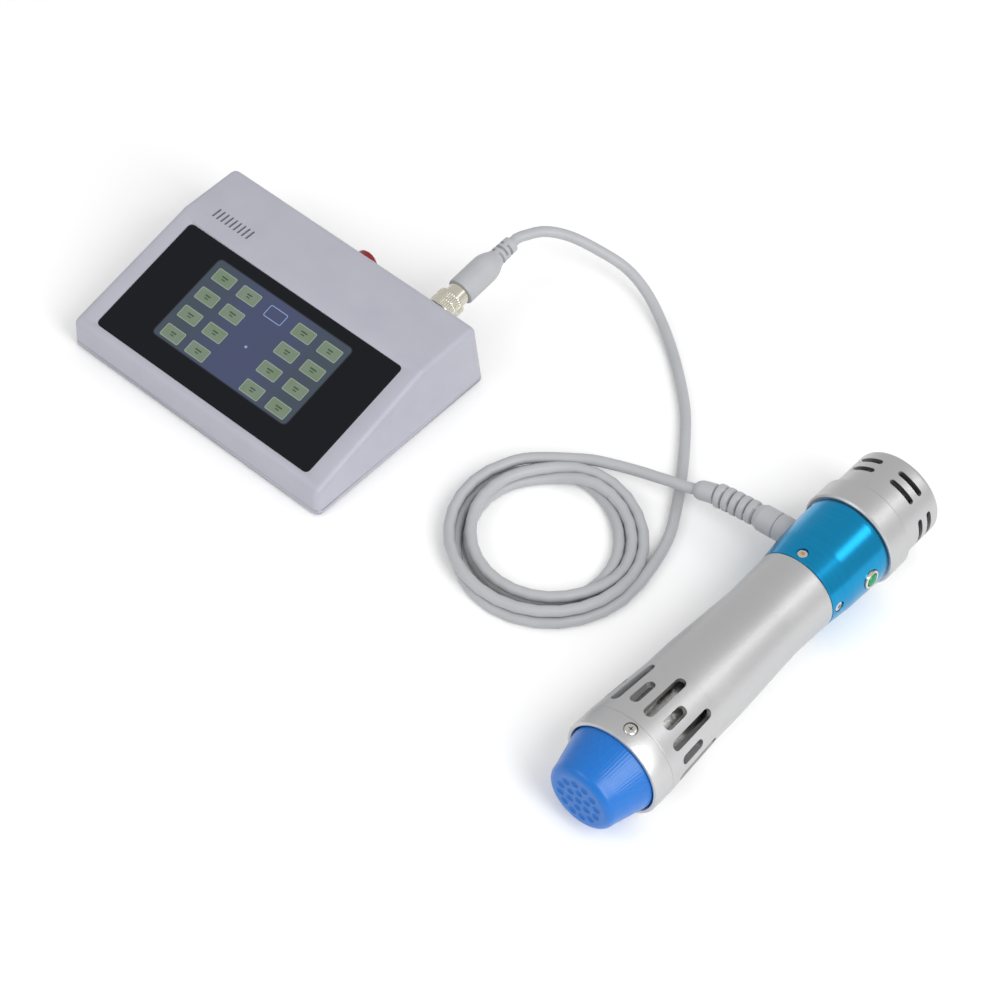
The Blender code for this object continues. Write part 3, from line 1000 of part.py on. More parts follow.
def striking_parts():
    """The solenoid round its guide tube, the striker with its return spring, and the head with its pin."""
    core = BOBBIN_BORE + BOBBIN_WALL
    turned("coil_bobbin", [(BOBBIN_RADIUS, BOBBIN_END), (BOBBIN_RADIUS, BOBBIN_END - BOBBIN_FLANGE),
                           (core, BOBBIN_END - BOBBIN_FLANGE), (core, BOBBIN_START + BOBBIN_FLANGE),
                           (BOBBIN_RADIUS, BOBBIN_START + BOBBIN_FLANGE), (BOBBIN_RADIUS, BOBBIN_START),
                           (BOBBIN_BORE, BOBBIN_START), (BOBBIN_BORE, BOBBIN_END)], BLACK, hand, sides=28,
                           ring=True)
    turned("coil_winding", tube_section(BOBBIN_RADIUS - WINDING_DEPTH, core + GAP,
                                        BOBBIN_START + BOBBIN_FLANGE + GAP,
                                        BOBBIN_END - BOBBIN_FLANGE - GAP), COPPER, hand, sides=28, ring=True)
    turned("guide_tube", tube_section(GUIDE_RADIUS, GUIDE_BORE, GUIDE_START, GUIDE_END), STEEL, hand,
           sides=MEDIUM,
           ring=True)
    turned("striker", [(0.0, STRIKER_END), (PIN_RADIUS - 0.0008, STRIKER_END),
                       (PIN_RADIUS, STRIKER_END - 0.0008),
                       (PIN_RADIUS, STRIKER_START + 0.0008), (PIN_RADIUS - 0.0008, STRIKER_START),
                       (0.0, STRIKER_START)], STEEL, hand, sides=MEDIUM)
    low, high = PIN_SHOULDER + SPRING_WIRE + GAP, STRIKER_START - SPRING_WIRE - GAP
    knots = 8 * SPRING_TURNS
    helix = [(SPRING_RADIUS * math.cos(math.pi * i / 4), SPRING_RADIUS * math.sin(math.pi * i / 4),
              low + (high - low) * i / knots) for i in range(knots + 1)]
    tube("return_spring", helix, SPRING_WIRE, STEEL, hand, resolution=0)
    turned("head_pin", [(0.0, PIN_REAR_END), (PIN_REAR_RADIUS, PIN_REAR_END), (PIN_REAR_RADIUS, PIN_SHOULDER),
                        (PIN_RADIUS, PIN_SHOULDER), (PIN_RADIUS, PIN_TIP), (0.0, PIN_TIP)], STEEL, hand,
                        sides=MEDIUM)
    edge = HEAD_EDGE_RADIUS
    corner = []
    for step in range(4):
        angle = step * math.pi / 6
        corner.append((HEAD_TIP_RADIUS - edge * (1 - math.cos(angle)),
                       HEAD_TIP + edge * (1 - math.sin(angle))))
    bore = PIN_RADIUS + GAP
    turned("head_cap", [(0.0, HEAD_TIP + HEAD_FLOOR), (bore, HEAD_TIP + HEAD_FLOOR), (bore, HEAD_BASE),
                        (HEAD_BASE_RADIUS, HEAD_BASE), (HEAD_BASE_RADIUS, NOSE_START), *corner,
                        (0.0, HEAD_TIP)],
           HEAD_BLUE, hand, sides=ROUND)
    turned("terminal_board", tube_section(SWITCH_RING_BORE - 0.0035, TERMINAL_BOARD_HOLE, TERMINAL_BOARD_S,
                                          TERMINAL_BOARD_S + BOARD_THICKNESS), BOARD, hand, sides=MEDIUM,
                                          ring=True)


# --------------------------------------------------------------------- the cord
def cord(boot_line):
    """The cord's solids: a tube from the plug to the coil, the coil's outer form, and a tube on to the
    boot."""
    out = Vector((0.0, math.cos(REAR_LEAN), math.sin(REAR_LEAN)))
    plug_end = socket_axis.location + out * (RELIEF_END + GAP)
    first = smooth_line([plug_end + out * CORD_DIAMETER, *PLUG_ROUTE], CORD_POINT_SPACING)
    tube("cord_from_plug", [plug_end, *first], CORD_DIAMETER / 2, CORD, console)
    along = (boot_line[-1] - boot_line[-2]).normalized()
    boot_end = boot_line[-1] + along * GAP
    last = smooth_line([boot_end + along * CORD_DIAMETER, *BOOT_ROUTE], CORD_POINT_SPACING)
    tube("cord_to_boot", [boot_end, *last], CORD_DIAMETER / 2, CORD, console)
    outer, inner, high, round_off = COIL_OUTER_RADIUS, COIL_INNER_RADIUS, COIL_HEIGHT, COIL_CORNER
    turned("cord_coil", [(outer - round_off, high), (outer, high - round_off), (outer, round_off),
                         (outer - round_off, 0.0), (inner + round_off, 0.0), (inner, round_off),
                         (inner, high - round_off), (inner + round_off, high)], CORD, console,
           (*COIL_CENTRE, 0.0), sides=28, ring=True)


base_plate = console_casing()
console_display()
console_electronics(base_plate)
power_switch()
power_inlet()
socket_and_plug()
slotted_barrel = barrel_and_nose()
blue_ring = switch_ring(slotted_barrel)
trigger(blue_ring)
boot_middle = gland_and_boot(blue_ring)
tail()
striking_parts()
cord(boot_middle)
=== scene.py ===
"""Shockwave physiotherapy device: console, handpiece and cord, finished for rendering. Units are metres."""

import math

import bmesh
import bpy
import numpy as np
from mathutils import Matrix, Vector


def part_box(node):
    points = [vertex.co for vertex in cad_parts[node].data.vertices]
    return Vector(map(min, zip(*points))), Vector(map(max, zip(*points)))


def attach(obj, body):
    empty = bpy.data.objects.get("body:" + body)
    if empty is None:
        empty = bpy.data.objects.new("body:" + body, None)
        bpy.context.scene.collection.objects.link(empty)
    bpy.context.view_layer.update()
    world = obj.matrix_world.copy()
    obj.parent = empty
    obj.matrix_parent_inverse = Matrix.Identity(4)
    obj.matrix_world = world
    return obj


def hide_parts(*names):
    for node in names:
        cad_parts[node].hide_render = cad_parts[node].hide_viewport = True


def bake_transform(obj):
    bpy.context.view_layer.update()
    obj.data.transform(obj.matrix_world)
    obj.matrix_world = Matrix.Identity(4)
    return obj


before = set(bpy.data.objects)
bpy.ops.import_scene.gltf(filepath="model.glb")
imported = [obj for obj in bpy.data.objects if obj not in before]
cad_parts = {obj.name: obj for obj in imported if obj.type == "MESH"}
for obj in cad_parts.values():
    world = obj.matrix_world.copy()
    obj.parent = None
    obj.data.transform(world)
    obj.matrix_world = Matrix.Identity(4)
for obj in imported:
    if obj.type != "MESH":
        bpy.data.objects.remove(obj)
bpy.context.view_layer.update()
MM = 0.001

# ---------------------------------------------------------------------------------------------------------------
# Studio. A pale floor under an even white sky, with one broad soft light on the right and a weaker one at the front
# left, which draw the long highlights along the handpiece.


def linear(colour):
    """An sRGB hex colour as linear red, green, blue and alpha: c/12.92 below 0.04045, else ((c+0.055)/1.055)^2.4."""
    channels = [int(colour[i:i + 2], 16) / 255 for i in (1, 3, 5)]
    return (*[c / 12.92 if c <= 0.04045 else ((c + 0.055) / 1.055) ** 2.4 for c in channels], 1.0)


def add(tree, kind, inputs=None, **settings):
    """Adds a node to a tree. Its inputs are given by name or number, as values or as sockets to link from."""
    made = tree.nodes.new(kind)
    for key, value in settings.items():
        setattr(made, key, value)
    for key, value in (inputs or {}).items():
        if isinstance(value, bpy.types.NodeSocket):
            tree.links.new(value, made.inputs[key])
        else:
            made.inputs[key].default_value = value
    return made


def new_material(name, **sockets):
    """A Principled material with these sockets set. Returns the material, its tree and its shader."""
    made = bpy.data.materials.new(name)
    made.use_nodes = True
    shader = made.node_tree.nodes["Principled BSDF"]
    for key, value in sockets.items():
        shader.inputs[key.replace("_", " ")].default_value = value
    return made, made.node_tree, shader


def soft_light(name, place, aim, size, power):
    lamp = bpy.data.lights.new(name, "AREA")
    lamp.shape, lamp.size, lamp.size_y, lamp.energy = "RECTANGLE", size[0], size[1], power
    made = bpy.data.objects.new(name, lamp)
    made.matrix_world = (Matrix.Translation(place)
                         @ (Vector(aim) - Vector(place)).to_track_quat("-Z", "Y").to_matrix().to_4x4())
    bpy.context.scene.collection.objects.link(made)


world = bpy.data.worlds.new("sky")
bpy.context.scene.world = world
world.use_nodes = True
world.node_tree.nodes["Background"].inputs["Color"].default_value = (1.0, 1.0, 1.0, 1.0)
world.node_tree.nodes["Background"].inputs["Strength"].default_value = 0.75
soft_light("key_light", (1.25, -0.25, 0.95), (0.1, 0.0, 0.0), (0.7, 1.3), 15.0)
soft_light("fill_light", (-0.5, -1.1, 1.2), (0.0, 0.0, 0.0), (1.0, 0.6), 4.0)
soft_light("small_light", (0.78, 0.70, 0.88), (0.187, 0.05, 0.05), (0.35, 0.3), 1.0)
bpy.context.scene.view_settings.view_transform = "Standard"

floor_mesh = bpy.data.meshes.new("floor")
floor_mesh.from_pydata([(-4, -4, 0), (4, -4, 0), (4, 4, 0), (-4, 4, 0)], [], [(0, 1, 2, 3)])
floor = bpy.data.objects.new("floor", floor_mesh)
bpy.context.scene.collection.objects.link(floor)
paper, _, _ = new_material("matt_paper", Base_Color=linear("#FBFBFB"), Roughness=0.9)
floor_mesh.materials.append(paper)

# ---------------------------------------------------------------------------------------------------------------
# Where things are: the handpiece's axis and the console's middle, read from the frame.
nose_low, nose_high = np.array(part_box("nose_ring"))
HAND_X, HAND_Z = (nose_low[0] + nose_high[0]) / 2, (nose_low[2] + nose_high[2]) / 2
HAND_Y = nose_low[1] + 6.5 * MM
base_low, base_high = np.array(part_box("console_base_plate"))
CONSOLE_X, CONSOLE_FRONT = (base_low[0] + base_high[0]) / 2, base_low[1]
CONSOLE_Y = CONSOLE_FRONT + 65 * MM


def on_hand(station, clock, radius):
    """Points round the handpiece's axis, in mm and degrees: x = r sin(clock), y = station, z = r cos(clock)."""
    station, clock, radius = np.broadcast_arrays(station, np.radians(clock), radius)
    return np.stack([HAND_X + MM * radius * np.sin(clock), HAND_Y + MM * station,
                     HAND_Z + MM * radius * np.cos(clock)], axis=-1)


def on_console(x, y, z):
    """Points in mm from the middle of the console's footprint."""
    return np.stack(np.broadcast_arrays(CONSOLE_X + MM * np.asarray(x, float), CONSOLE_Y + MM * np.asarray(y, float),
                                        MM * np.asarray(z, float)), axis=-1)


def on_rear_wall(x, height, out, clock=0.0, radius=0.0):
    """Points round an axis that leaves the rear wall at a height, square to its 7 degree lean. All in mm, with out
    the distance along the axis and clock the angle in degrees round it, from the top towards +X."""
    lean = math.radians(7.0)
    out, clock, radius = np.broadcast_arrays(np.asarray(out, float), np.radians(clock), np.asarray(radius, float))
    across, along = radius * np.sin(clock), radius * np.cos(clock)
    return on_console(x + across, 65 - height * math.tan(lean) + out * math.cos(lean) - along * math.sin(lean),
                      height + out * math.sin(lean) + along * math.cos(lean))


# ---------------------------------------------------------------------------------------------------------------
# Camera. A long lens, from the front right and well above, turned a little about its own line of sight.
AZIMUTH, ELEVATION, ROLL = math.radians(39.16), math.radians(51.06), math.radians(2.44)
lens = bpy.data.cameras.new("camera")
lens.sensor_width, lens.lens, lens.clip_end = 36.0, 111.7, 20.0
camera = bpy.data.objects.new("camera", lens)
bpy.context.scene.collection.objects.link(camera)
camera.matrix_world = (Matrix.Translation(on_console(790.89, -778.03, 1254.23)) @ Matrix.Rotation(AZIMUTH, 4, "Z")
                       @ Matrix.Rotation(math.pi / 2 - ELEVATION, 4, "X") @ Matrix.Rotation(ROLL, 4, "Z"))
bpy.context.scene.camera = camera

# ---------------------------------------------------------------------------------------------------------------
# Cord. A soft round lead, 6 mm thick, in pale grey PVC. It leaves the plug in a loose arc, falls to the table, is
# wound by hand into nearly four turns, and climbs over itself to the handpiece. It is made in two lengths that meet
# inside the coil.
CORD_RADIUS = 3.0
PLUG_LEAVES = on_rear_wall(57.7, 30.0, 62.19)
PLUG_DIRECTION = on_rear_wall(0, 30.0, 1.0) - on_rear_wall(0, 30.0, 0.0)
PLUG_ROUTE = [(59.0, 130.0, 38.6), (65.0, 141.2, 38.0), (75.5, 150.8, 34.2), (89.5, 159.0, 26.8),
              (104.5, 165.2, 18.5), (119.5, 164.8, 11.0), (136.2, 157.8, 5.6), (153.1, 146.8, 3.3),
              (170.1, 132.7, 3.2), (185.4, 118.0, 3.2), (198.0, 102.3, 3.2), (209.0, 86.8, 3.2),
              (218.0, 73.0, 3.2), (226.2, 59.0, 3.2), (232.2, 47.5, 3.2)]
BOOT_ROUTE = [(170.0, 51.5, 9.8), (183.5, 58.2, 10.8), (198.6, 63.6, 12.0), (206.5, 65.4, 13.1), (214.3, 67.1, 14.5)]
COIL_MIDDLE = (186.5, 2.5)
# How the turns lie: quarter turns wound, distance from the coil's middle, and height of the cord's middle.
LAY = [(0.09, 59.7, 3.2), (0.25, 56.3, 3.1), (0.43, 54.8, 3.1), (0.6, 54.4, 3.1), (1, 54.0, 3.1), (1.3, 53.2, 3.1),
       (1.6, 50.2, 3.1), (1.8, 47.8, 3.1), (2, 45.8, 3.1), (3, 46.5, 3.1), (3.15, 45.3, 3.1), (3.35, 42.6, 3.1),
       (3.6, 40.0, 3.1), (3.8, 38.3, 3.1), (4, 37.4, 3.1), (4.43, 38.5, 3.1), (5, 41.5, 3.1), (6, 39.6, 3.1),
       (7, 39.5, 3.1), (7.15, 39.8, 5.3), (7.35, 41.2, 9.0), (7.6, 43.0, 8.3), (7.8, 44.2, 5.4), (8, 44.6, 3.2),
       (8.25, 44.3, 3.1), (8.43, 44.0, 5.2), (8.6, 43.2, 7.8), (8.8, 42.6, 9.0), (9, 42.4, 9.15), (9.5, 40.3, 9.15),
       (10, 38.3, 9.15), (10.5, 39.8, 9.15), (11, 41.5, 8.9), (11.15, 44.6, 9.0), (11.35, 47.4, 9.0),
       (11.6, 49.2, 7.3), (11.8, 50.2, 4.5), (12, 50.7, 3.2), (12.25, 50.3, 3.2), (12.43, 50.1, 6.7),
       (12.6, 51.0, 8.0), (13, 51.1, 8.7), (13.3, 50.9, 8.7), (13.6, 50.3, 9.1), (14, 49.9, 8.0), (15, 49.6, 8.8)]
PARTING = 6.6  # quarter turns wound where the two lengths meet


def smooth_line(knots, spacing):
    """Points a spacing apart on the Catmull-Rom curve through the knots: on each stretch, with t from 0 to 1,
    0.5 (2b + (c-a)t + (2a-5b+4c-d)t^2 + (3b-a-3c+d)t^3)."""
    knots = np.asarray(knots, float)
    knots = np.vstack([2 * knots[0] - knots[1], knots, 2 * knots[-1] - knots[-2]])
    a, b, c, d = (knots[i:len(knots) - 3 + i, None, :] for i in range(4))
    t = np.linspace(0, 1, 30, endpoint=False)[None, :, None]
    fine = 0.5 * (2 * b + (c - a) * t + (2 * a - 5 * b + 4 * c - d) * t ** 2 + (3 * b - a - 3 * c + d) * t ** 3)
    fine = np.vstack([fine.reshape(-1, 3), knots[-2]])
    reach = np.concatenate([[0], np.cumsum(np.linalg.norm(np.diff(fine, axis=0), axis=1))])
    even = np.linspace(0, reach[-1], max(2, int(round(reach[-1] / spacing)) + 1))
    return np.stack([np.interp(even, reach, fine[:, i]) for i in range(3)], axis=1)


def wound(start, end):
    """The coil's line between two amounts of quarter turns. Wound clockwise: x = r cos(a), y = -r sin(a), with the
    angle a at 90 degrees for each quarter turn, less 41."""
    quarters = np.arange(-0.5, 15.5, 0.02)
    table = np.array(LAY)
    soft = np.ones(15) / 15
    radius = np.convolve(np.pad(np.interp(quarters, table[:, 0], table[:, 1]), 7, mode="edge"), soft, "valid")
    height = np.convolve(np.pad(np.interp(quarters, table[:, 0], table[:, 2]), 7, mode="edge"), soft, "valid")
    wanted = np.linspace(start, end, int((end - start) * 7) + 2)
    angle = np.radians(90 * wanted - 41)
    r, z = np.interp(wanted, quarters, radius), np.interp(wanted, quarters, height)
    return on_console(COIL_MIDDLE[0] + r * np.cos(angle), COIL_MIDDLE[1] - r * np.sin(angle), z)


def along_line(line):
    """Tangents and two sideways directions at each point of a line, turned as little as possible from one to the
    next."""
    tangents = np.gradient(line, axis=0)
    tangents /= np.linalg.norm(tangents, axis=1)[:, None]
    side = np.cross(tangents[0], (0.0, 0.0, 1.0))
    sides = []
    for tangent in tangents:
        side = side - tangent * (side @ tangent)
        side = side / np.linalg.norm(side)
        sides.append(side)
    sides = np.array(sides)
    return tangents, sides, np.cross(sides, tangents)


def swept(line, radius, sides=24):
    """A grid round a line: p(i, u) = line(i) + r(i, u) (side cos u + up sin u). Radius in metres, a number or a
    grid."""
    _, side, up = along_line(line)
    u = np.linspace(0, 2 * np.pi, sides, endpoint=False)
    ring = side[:, None, :] * np.cos(u)[None, :, None] + up[:, None, :] * np.sin(u)[None, :, None]
    radius = np.broadcast_to(radius, (len(line), sides)) if np.ndim(radius) != 1 else np.asarray(radius)[:, None]
    return line[:, None, :] + ring * radius[..., None]


def piece_of(name, grid, material, body, angle=40.0, capped=True, looped=False):
    """A piece from a grid of points whose columns go round. Its two end rows are closed with a flat face, or the
    rows too go round when looped. Faces are turned outwards, and edges sharper than the angle stay sharp."""
    rows, columns = grid.shape[:2]
    index = np.arange(rows * columns).reshape(rows, columns)
    if looped:
        index = np.vstack([index, index[:1]])
    here, there = index[:-1], index[1:]
    faces = np.stack([here, np.roll(here, -1, 1), np.roll(there, -1, 1), there], axis=-1).reshape(-1, 4).tolist()
    if capped and not looped:
        faces += [index[0].tolist(), index[-1].tolist()]
    mesh = bpy.data.meshes.new(name)
    mesh.from_pydata(grid.reshape(-1, 3).tolist(), [], faces)
    return settled(name, mesh, material, body, angle)


def settled(name, mesh, material, body, angle=40.0):
    """Merges a mesh's doubles, turns its faces outwards, shades it smooth between its sharp edges, and makes it a
    piece of a body. Without a material it is only a tool for cutting."""
    bm = bmesh.new()
    bm.from_mesh(mesh)
    bmesh.ops.remove_doubles(bm, verts=bm.verts, dist=2e-6)
    bmesh.ops.dissolve_degenerate(bm, edges=bm.edges, dist=1e-7)
    bmesh.ops.recalc_face_normals(bm, faces=bm.faces)
    bm.to_mesh(mesh)
    bm.free()
    mesh.shade_smooth()
    mesh.set_sharp_from_angle(angle=math.radians(angle))
    made = bpy.data.objects.new(name, mesh)
    bpy.context.scene.collection.objects.link(made)
    if material is not None:
        mesh.materials.clear()
        mesh.materials.append(material)
    if body is not None:
        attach(made, body)
    return made


def grain(tree, size, strength, depth, stretch=(1.0, 1.0, 1.0)):
    """A bump from fine noise on Object coordinates. Size is the grain's width in mm, and stretch multiplies it."""
    place = add(tree, "ShaderNodeTexCoord")
    scaled = add(tree, "ShaderNodeMapping", {"Vector": place.outputs["Object"],
                                             "Scale": [1.0 / s for s in stretch]})
    noise = add(tree, "ShaderNodeTexNoise", {"Vector": scaled.outputs["Vector"], "Scale": 1.0 / (size * MM),
                                             "Detail": 2.0, "Roughness": 0.5})
    bump = add(tree, "ShaderNodeBump", {"Height": noise.outputs["Fac"], "Strength": strength,
                                        "Distance": depth * MM})
    return noise, bump


def varied(tree, shader, factor, low, high, socket="Base Color"):
    """Colours a socket between two hex colours, or a number socket between two numbers, by a factor."""
    if isinstance(low, str):
        mix = add(tree, "ShaderNodeMix", {"Factor": factor, 6: linear(low), 7: linear(high)}, data_type="RGBA")
        tree.links.new(mix.outputs[2], shader.inputs[socket])
    else:
        mapped = add(tree, "ShaderNodeMapRange", {"Value": factor, "From Min": 0.3, "From Max": 0.7, "To Min": low,
                                                  "To Max": high})
        tree.links.new(mapped.outputs["Result"], shader.inputs[socket])


def moulded(name, dark, light, roughness, size=0.6, strength=0.25, ior=1.5, coat=0.0):
    """A moulded plastic: two near colours that drift over a few millimetres, and a fine spark-eroded grain."""
    made, tree, shader = new_material(name, Roughness=roughness, IOR=ior, Coat_Weight=coat)
    _, bump = grain(tree, size, strength, 0.03)
    tree.links.new(bump.outputs["Normal"], shader.inputs["Normal"])
    drift = add(tree, "ShaderNodeTexNoise", {"Vector": add(tree, "ShaderNodeTexCoord").outputs["Object"],
                                             "Scale": 60.0, "Detail": 2.0})
    varied(tree, shader, drift.outputs["Fac"], dark, light)
    return made


# Plasticised PVC: a soft satin skin, very slightly uneven from being extruded.
soft_pvc = moulded("soft_pvc", "#A3A4A7", "#AFB0B3", 0.48, size=1.5, strength=0.15)

plug_line = smooth_line([PLUG_LEAVES, PLUG_LEAVES + 6 * PLUG_DIRECTION,
                         *(on_console(*knot) for knot in PLUG_ROUTE), *wound(0.12, 0.5)[::2]], 4 * MM)
first_length = np.vstack([plug_line[:-1], wound(0.5, PARTING)])
GLAND_CLOCK = -96.0
GLAND_STATION = 166.0
BOOT_LINE = [(0.0, 0.0, 0.0), (17.0, 0.4, 0.0), (33.0, 1.3, 0.2), (42.0, 2.6, 0.8), (49.0, 4.3, 1.8)]
boot_line = smooth_line([on_hand(GLAND_STATION, GLAND_CLOCK, 33.3 + reach) + MM * np.array([0.0, -aside, -down])
                         for reach, aside, down in BOOT_LINE], 0.3 * MM)
boot_end = boot_line[-1]
boot_direction = (boot_line[-1] - boot_line[-4]) / np.linalg.norm(boot_line[-1] - boot_line[-4])
rising = smooth_line([*wound(14.6, 15.0)[::2], *(on_console(*knot) for knot in BOOT_ROUTE),
                      boot_end + 6.3 * MM * boot_direction, boot_end + 0.3 * MM * boot_direction], 4 * MM)
second_length = np.vstack([wound(PARTING, 14.6)[:-1], rising])

cord_lead = piece_of("cord_lead", swept(first_length, CORD_RADIUS * MM), soft_pvc, None)
cord_tail = piece_of("cord_tail", swept(second_length, CORD_RADIUS * MM), soft_pvc, None)
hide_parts("cord_from_plug", "cord_coil")
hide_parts("cord_to_boot")


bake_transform(cord_lead)
on_console(107.3, 135.0, 0)
on_console(122.6, 154.2, 0)
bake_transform(cord_tail)

# ---------------------------------------------------------------------------------------------------------------
# Console casing. Two halves moulded in light grey ABS, screwed together from below, with a fine seam just above the
# table. The surface is spark-eroded to a soft satin that hides fingerprints.
satin_abs = moulded("satin_abs", "#A2A3AE", "#ABACB6", 0.42, size=0.5, strength=0.12)


def finished_copy(node, name, material, body, bevel=0.0, angle=32.0):
    """A copy of a frame node with merged points, smooth shading that keeps its flat faces flat, and, where asked,
    rounded edges. It stands for the node."""
    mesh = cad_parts[node].data.copy()
    made = settled(name, mesh, material, body, angle)
    if bevel:
        rounding = made.modifiers.new("rounding", "BEVEL")
        rounding.width, rounding.segments, rounding.limit_method = bevel * MM, 2, "ANGLE"
        rounding.angle_limit = math.radians(40)
        rounding.harden_normals = False
    weights = made.modifiers.new("flat_faces", "WEIGHTED_NORMAL")
    weights.keep_sharp = True
    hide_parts(node)
    return made


finished_copy("console_top_shell", "upper_casing", satin_abs, "console")
finished_copy("console_base_plate", "lower_casing", satin_abs, "console")

# ---------------------------------------------------------------------------------------------------------------
# Cover glass and display. A black-backed sheet of gloss glass, flush in the casing's slope, with a small colour
# display lit behind its window: two blocks of soft keys and a glow in the middle.
SLOPE = math.atan2(24.1, 85.2)
GLASS_TOP = math.hypot(24.1, 85.2) - 6.5
KEY_COLUMNS = (-37.7, -19.5, 20.3, 39.0)
KEY_ROWS = (15.5, 29.2, 42.9, 56.6)
KEY_SIZE = (13.2, 8.0)


def on_slope(x, down, lift=0.0):
    """Points on the glass in mm: x from its middle, down from its upper edge, lift off its face."""
    v = GLASS_TOP - np.asarray(down, float)
    return on_console(x, -65 + v * math.cos(SLOPE) - lift * math.sin(SLOPE),
                      20 + v * math.sin(SLOPE) + lift * math.cos(SLOPE))


def plate(name, x, down, size, corner, lift, material, hollow=0.0):
    """A thin plate on the glass, with rounded corners: p(a) = centre + half size less corner + corner (cos a, sin a)
    in each quarter. A hollow one is a frame of that width."""
    a = np.radians(np.arange(0, 360, 10) + 5)
    cx, cy = np.sign(np.cos(a)), np.sign(np.sin(a))

    def outline(inset):
        r = max(corner - inset, 0.05)
        return (x + cx * (size[0] / 2 - inset - r) + r * np.cos(a),
                down + cy * (size[1] / 2 - inset - r) + r * np.sin(a))

    outer = outline(0.0)
    if hollow:
        inner = outline(hollow)
        rows = [on_slope(*outer, lift), on_slope(*outer, lift - 0.05), on_slope(*inner, lift - 0.05),
                on_slope(*inner, lift)]
        return piece_of(name, np.array(rows), material, "console", looped=True)
    rows = [on_slope(*outer, lift - 0.05), on_slope(*outer, lift)]
    return piece_of(name, np.array(rows), material, "console")


def lit(name, colour, strength, roughness=0.08):
    """Something lit behind the glass: its own light, under the glass's clear gloss."""
    made, tree, shader = new_material(name, Base_Color=(0.01, 0.01, 0.012, 1.0), Roughness=roughness, IOR=1.52,
                                      Specular_IOR_Level=0.15, Emission_Color=linear(colour),
                                      Emission_Strength=strength)
    return made, tree, shader


# Soda-lime glass with an anti-reflection coat, printed black on its back: near black, with a weak sharp reflection.
black_glass, _, _ = new_material("black_printed_glass", Base_Color=linear("#0C0F14"), Roughness=0.06, IOR=1.52,
                                 Specular_IOR_Level=0.15)
finished_copy("glass_panel", "cover_glass", black_glass, "console", bevel=0.25)

# A backlit display: slate, violet towards its middle and greener at its ends, with a soft dark rim.
backlit, tree, shader = lit("backlit_display", "#4A5468", 0.85)
place = add(tree, "ShaderNodeTexCoord")
centre = on_slope(0.0, 37.0)
offset = add(tree, "ShaderNodeVectorMath", {0: place.outputs["Object"], 1: tuple(centre)}, operation="SUBTRACT")
turned_back = add(tree, "ShaderNodeVectorRotate", {"Vector": offset.outputs["Vector"], "Axis": (1.0, 0.0, 0.0),
                                                   "Angle": -SLOPE})
axes = add(tree, "ShaderNodeSeparateXYZ", {"Vector": turned_back.outputs["Vector"]})
far = add(tree, "ShaderNodeMath", {0: axes.outputs["X"]}, operation="ABSOLUTE")
towards_ends = add(tree, "ShaderNodeMapRange", {"Value": far.outputs["Value"], "From Min": 8 * MM,
                                                "From Max": 42 * MM}, interpolation_type="SMOOTHSTEP")
cloud = add(tree, "ShaderNodeTexNoise", {"Vector": turned_back.outputs["Vector"], "Scale": 45.0, "Detail": 2.0})
glow = add(tree, "ShaderNodeMix", {"Factor": cloud.outputs["Fac"], 6: linear("#434E6C"), 7: linear("#4C5273")},
           data_type="RGBA")
ends = add(tree, "ShaderNodeMix", {"Factor": cloud.outputs["Fac"], 6: linear("#3F5157"), 7: linear("#474E60")},
           data_type="RGBA")
spread = add(tree, "ShaderNodeMix", {"Factor": towards_ends.outputs["Result"], 6: glow.outputs[2],
                                     7: ends.outputs[2]}, data_type="RGBA")
tree.links.new(spread.outputs[2], shader.inputs["Emission Color"])
plate("display", 0.3, 34.7, (96.4, 54.6), 2.5, 0.03, backlit)
rim, _, _ = lit("display_rim", "#2E333D", 0.7)
plate("display_edge", 0.3, 34.7, (97.6, 55.8), 3.0, 0.02, rim, hollow=1.2)

# Keys drawn on the display: pale grey-green, edged in white, each with two short dark bars.
key_face, tree, shader = lit("drawn_key", "#93A894", 0.85)
cloud = add(tree, "ShaderNodeTexNoise", {"Vector": add(tree, "ShaderNodeTexCoord").outputs["Object"], "Scale": 120.0})
mixed = add(tree, "ShaderNodeMix", {"Factor": cloud.outputs["Fac"], 6: linear("#71895F"), 7: linear("#84928A")},
            data_type="RGBA")
tree.links.new(mixed.outputs[2], shader.inputs["Emission Color"])
key_edge, _, _ = lit("drawn_key_edge", "#A9B3A6", 0.8)
key_mark, _, _ = lit("drawn_key_mark", "#4C5E45", 0.75)
outline_light, _, _ = lit("drawn_outline", "#94A6DC", 0.9)
for column, x in enumerate(KEY_COLUMNS, 1):
    for row, down in enumerate(KEY_ROWS, 1):
        plate(f"key_{column}_{row}", x, down, KEY_SIZE, 0.9, 0.06, key_face)
        plate(f"key_edge_{column}_{row}", x, down, KEY_SIZE, 0.9, 0.08, key_edge, hollow=0.4)
        plate(f"key_mark_{column}_{row}", x, down - 0.7, (4.4 - 0.8 * ((column + row) % 2), 0.9), 0.4, 0.08, key_mark)
        plate(f"key_line_{column}_{row}", x, down + 0.9, (2.6, 0.7), 0.3, 0.08, key_mark)
plate("selected_key", 0.4, 15.9, (12.4, 7.6), 1.2, 0.08, outline_light, hollow=0.45)
plate("glow_dot", 0.1, 39.4, (1.6, 1.6), 0.79, 0.08, outline_light)

# ---------------------------------------------------------------------------------------------------------------
# Power switch and inlet on the rear wall. The rocker is glossy red ABS in a black nylon housing; the inlet is the
# usual round low-voltage one.
red_abs = moulded("gloss_red_abs", "#7C0D17", "#8C101A", 0.22, size=1.2, strength=0.05)
black_nylon = moulded("black_nylon", "#17171A", "#202024", 0.42, size=0.5, strength=0.2)
finished_copy("switch_rocker", "red_rocker", red_abs, "power_rocker", bevel=0.5)
finished_copy("switch_housing", "switch_bezel", black_nylon, "console")
finished_copy("power_inlet", "inlet", black_nylon, "console")

